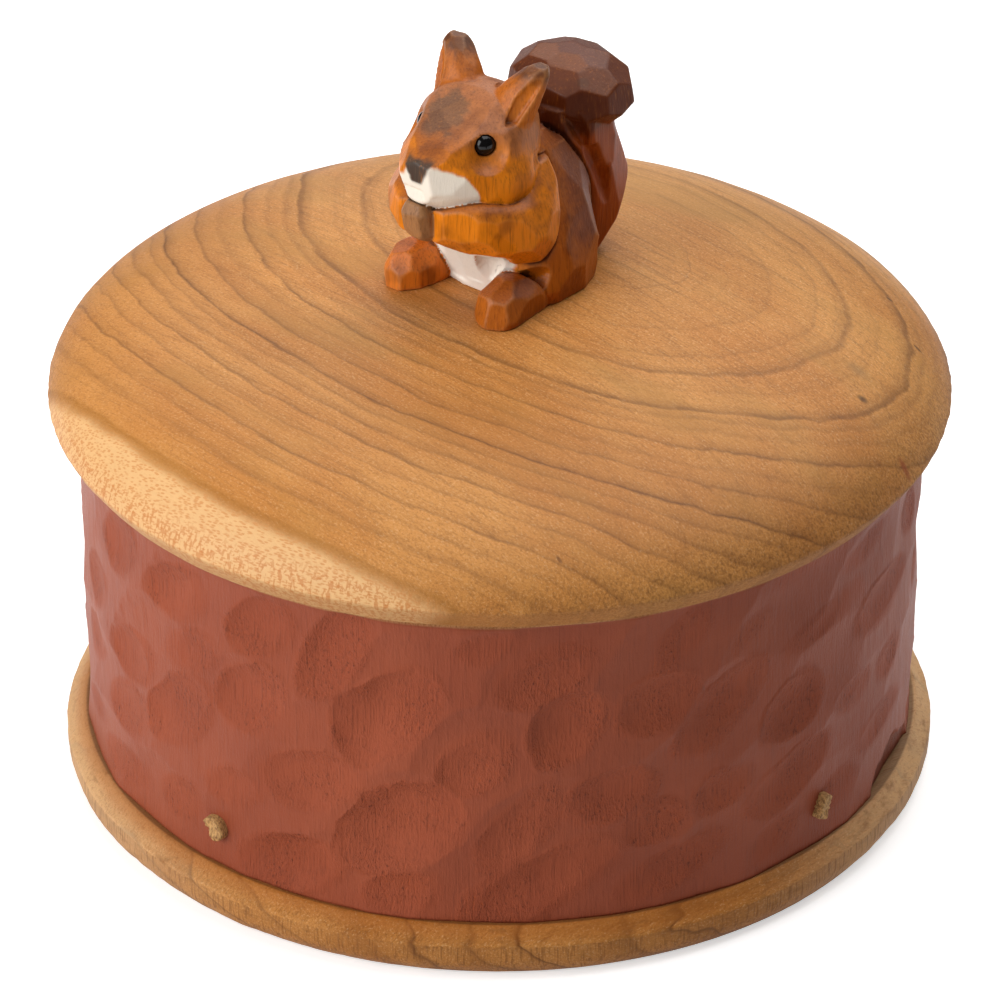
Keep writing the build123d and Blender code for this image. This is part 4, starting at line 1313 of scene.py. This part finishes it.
# How far out a crease is felt for its painted shade, how far in a point's form is read, and a ridge's least and
# full rise
CREASE_REACH, SKIN = 1.6, 0.15
RIDGE_RISE, RIDGE_ROUNDS = (0.015, 0.06), 6
NO_RIDGES = [FORMS.index(name) for name in ("head", "tail", "nut")]


def make_squirrel():
    """The whittled figure, with its colours, painted shade in its creases, lighter ridges that are partly wear
    and partly a painted highlight, and the tone of each cut.
    """
    carving = carve_squirrel()
    points, quads = carving.surface()
    points = relaxed(points, quads, 1)
    normals = carving.facing(points)
    # How deep in a crease each point lies, for the painted shade there
    crease_shade = 1 - np.clip(carving.sample(points + normals * CREASE_REACH) / CREASE_REACH, 0, 1)
    below = points - SKIN * normals
    forms = carving.nearest(carving.form, below)
    colours, white = squirrel_colours(points, normals, forms)
    # How far each point stands out, for the lighter ridges that are partly wear and partly a painted highlight
    rise = ((points - relaxed(points, quads, RIDGE_ROUNDS)) * normals).sum(1)
    ridge = smoothstep(*RIDGE_RISE, rise) * ~np.isin(forms, NO_RIDGES)
    piece = add_mesh("whittled_squirrel", points + (*FIGURE_ORIGIN, LID_CROWN), quads, {
        "crease_shade": crease_shade, "white": white, "stain": colours, "ridge": ridge,
        "facet": carving.nearest(carving.tone, below),
    })
    piece.data.materials.append(figure_stain())
    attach(piece, "lid")
    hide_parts("squirrel")


def finish_small_solids():
    """The beads and screws keep their solids and get their finish."""
    bead, steel = bead_gloss(), screw_steel()
    finishes = {"eye_left": bead, "eye_right": bead}
    finishes.update({"squirrel_screw_front": steel, "squirrel_screw_rear": steel})
    for name, material in finishes.items():
        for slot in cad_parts[name].material_slots:
            slot.material = material


# Stage, light and camera
FLOOR_REACH = 1500.0
FLOOR_GREY = 0.8
FLOOR_GLOW = 0.55
WHITE = (1, 1, 1, 1)
# Softboxes: place to the right of, towards and above the camera's side of the box, width, height and power
LIGHTS = {
    "key": (-890, 510, 550, 900, 900, 12.5),
    "top": (200, -100, 1300, 900, 900, 8.5),
    "back": (0, -1000, 900, 1200, 600, 6.0),
    "edge": (800, -500, 1000, 700, 700, 3.0),
}
LIGHT_TARGET = Vector((0, 0, 60 * MM))
AMBIENT = 0.08


def make_floor():
    """A pale floor that the camera sees as white, with the soft shadow left on it."""
    corners = [(-1, -1, 0), (1, -1, 0), (1, 1, 0), (-1, 1, 0)]
    floor = add_mesh("floor", np.array(corners) * FLOOR_REACH, [(0, 1, 2, 3)])
    f = Finish("white_floor", roughness=0.9)
    f.shader.inputs["Base Color"].default_value = (FLOOR_GREY, FLOOR_GREY, FLOOR_GREY, 1)
    rays = f.node("ShaderNodeLightPath")
    seen = f.math("MAXIMUM", rays.outputs["Is Camera Ray"], rays.outputs["Is Glossy Ray"])
    seen = f.math("MAXIMUM", seen, rays.outputs["Is Transmission Ray"])
    f.shader.inputs["Emission Color"].default_value = WHITE
    f.feed(f.shader.inputs["Emission Strength"], f.times(seen, FLOOR_GLOW))
    floor.data.materials.append(f.material)


def from_view(right, toward, up):
    """A place in metres, from millimetres to the right of, towards and above the camera's side of the box."""
    turn = math.radians(VIEW_AZIMUTH)
    x = right * math.cos(turn) + toward * math.sin(turn)
    y = right * math.sin(turn) - toward * math.cos(turn)
    return Vector((x, y, up)) * MM


def make_lights():
    """Softboxes round the box, turned to it."""
    for name, (right, toward, up, width, height, power) in LIGHTS.items():
        lamp = bpy.data.lights.new(name, "AREA")
        lamp.shape = "RECTANGLE"
        lamp.size, lamp.size_y = width * MM, height * MM
        lamp.energy = power
        made = bpy.data.objects.new(name, lamp)
        made.location = from_view(right, toward, up)
        made.rotation_euler = (LIGHT_TARGET - made.location).to_track_quat("-Z", "Y").to_euler()
        bpy.context.scene.collection.objects.link(made)


def make_surroundings():
    """Faint light from all round, and a white background where the camera sees past the floor."""
    world = bpy.data.worlds.new("studio")
    world.use_nodes = True
    tree = world.node_tree
    ground = tree.nodes["Background"]
    ground.inputs["Color"].default_value = WHITE
    ground.inputs["Strength"].default_value = AMBIENT
    shown = tree.nodes.new("ShaderNodeBackground")
    shown.inputs["Color"].default_value = WHITE
    rays = tree.nodes.new("ShaderNodeLightPath")
    mixer = tree.nodes.new("ShaderNodeMixShader")
    tree.links.new(rays.outputs["Is Camera Ray"], mixer.inputs[0])
    tree.links.new(ground.outputs[0], mixer.inputs[1])
    tree.links.new(shown.outputs[0], mixer.inputs[2])
    tree.links.new(mixer.outputs[0], tree.nodes["World Output"].inputs["Surface"])
    bpy.context.scene.world = world


def make_camera():
    """The photograph's view."""
    lens = bpy.data.cameras.new("camera")
    lens.lens, lens.sensor_width = LENS, SENSOR
    camera = bpy.data.objects.new("camera", lens)
    target = Vector((0, 0, VIEW_TARGET_HEIGHT * MM))
    rise = math.radians(VIEW_ELEVATION)
    away = from_view(0, VIEW_DISTANCE * math.cos(rise), VIEW_DISTANCE * math.sin(rise))
    camera.location = target + away
    camera.rotation_euler = (-away).to_track_quat("-Z", "Y").to_euler()
    bpy.context.scene.collection.objects.link(camera)
    bpy.context.scene.camera = camera


make_base()
make_wall()
make_pegs()
make_lid()
make_squirrel()
finish_small_solids()
make_floor()
make_lights()
make_surroundings()
make_camera()
bpy.context.scene.view_settings.view_transform = "Standard"
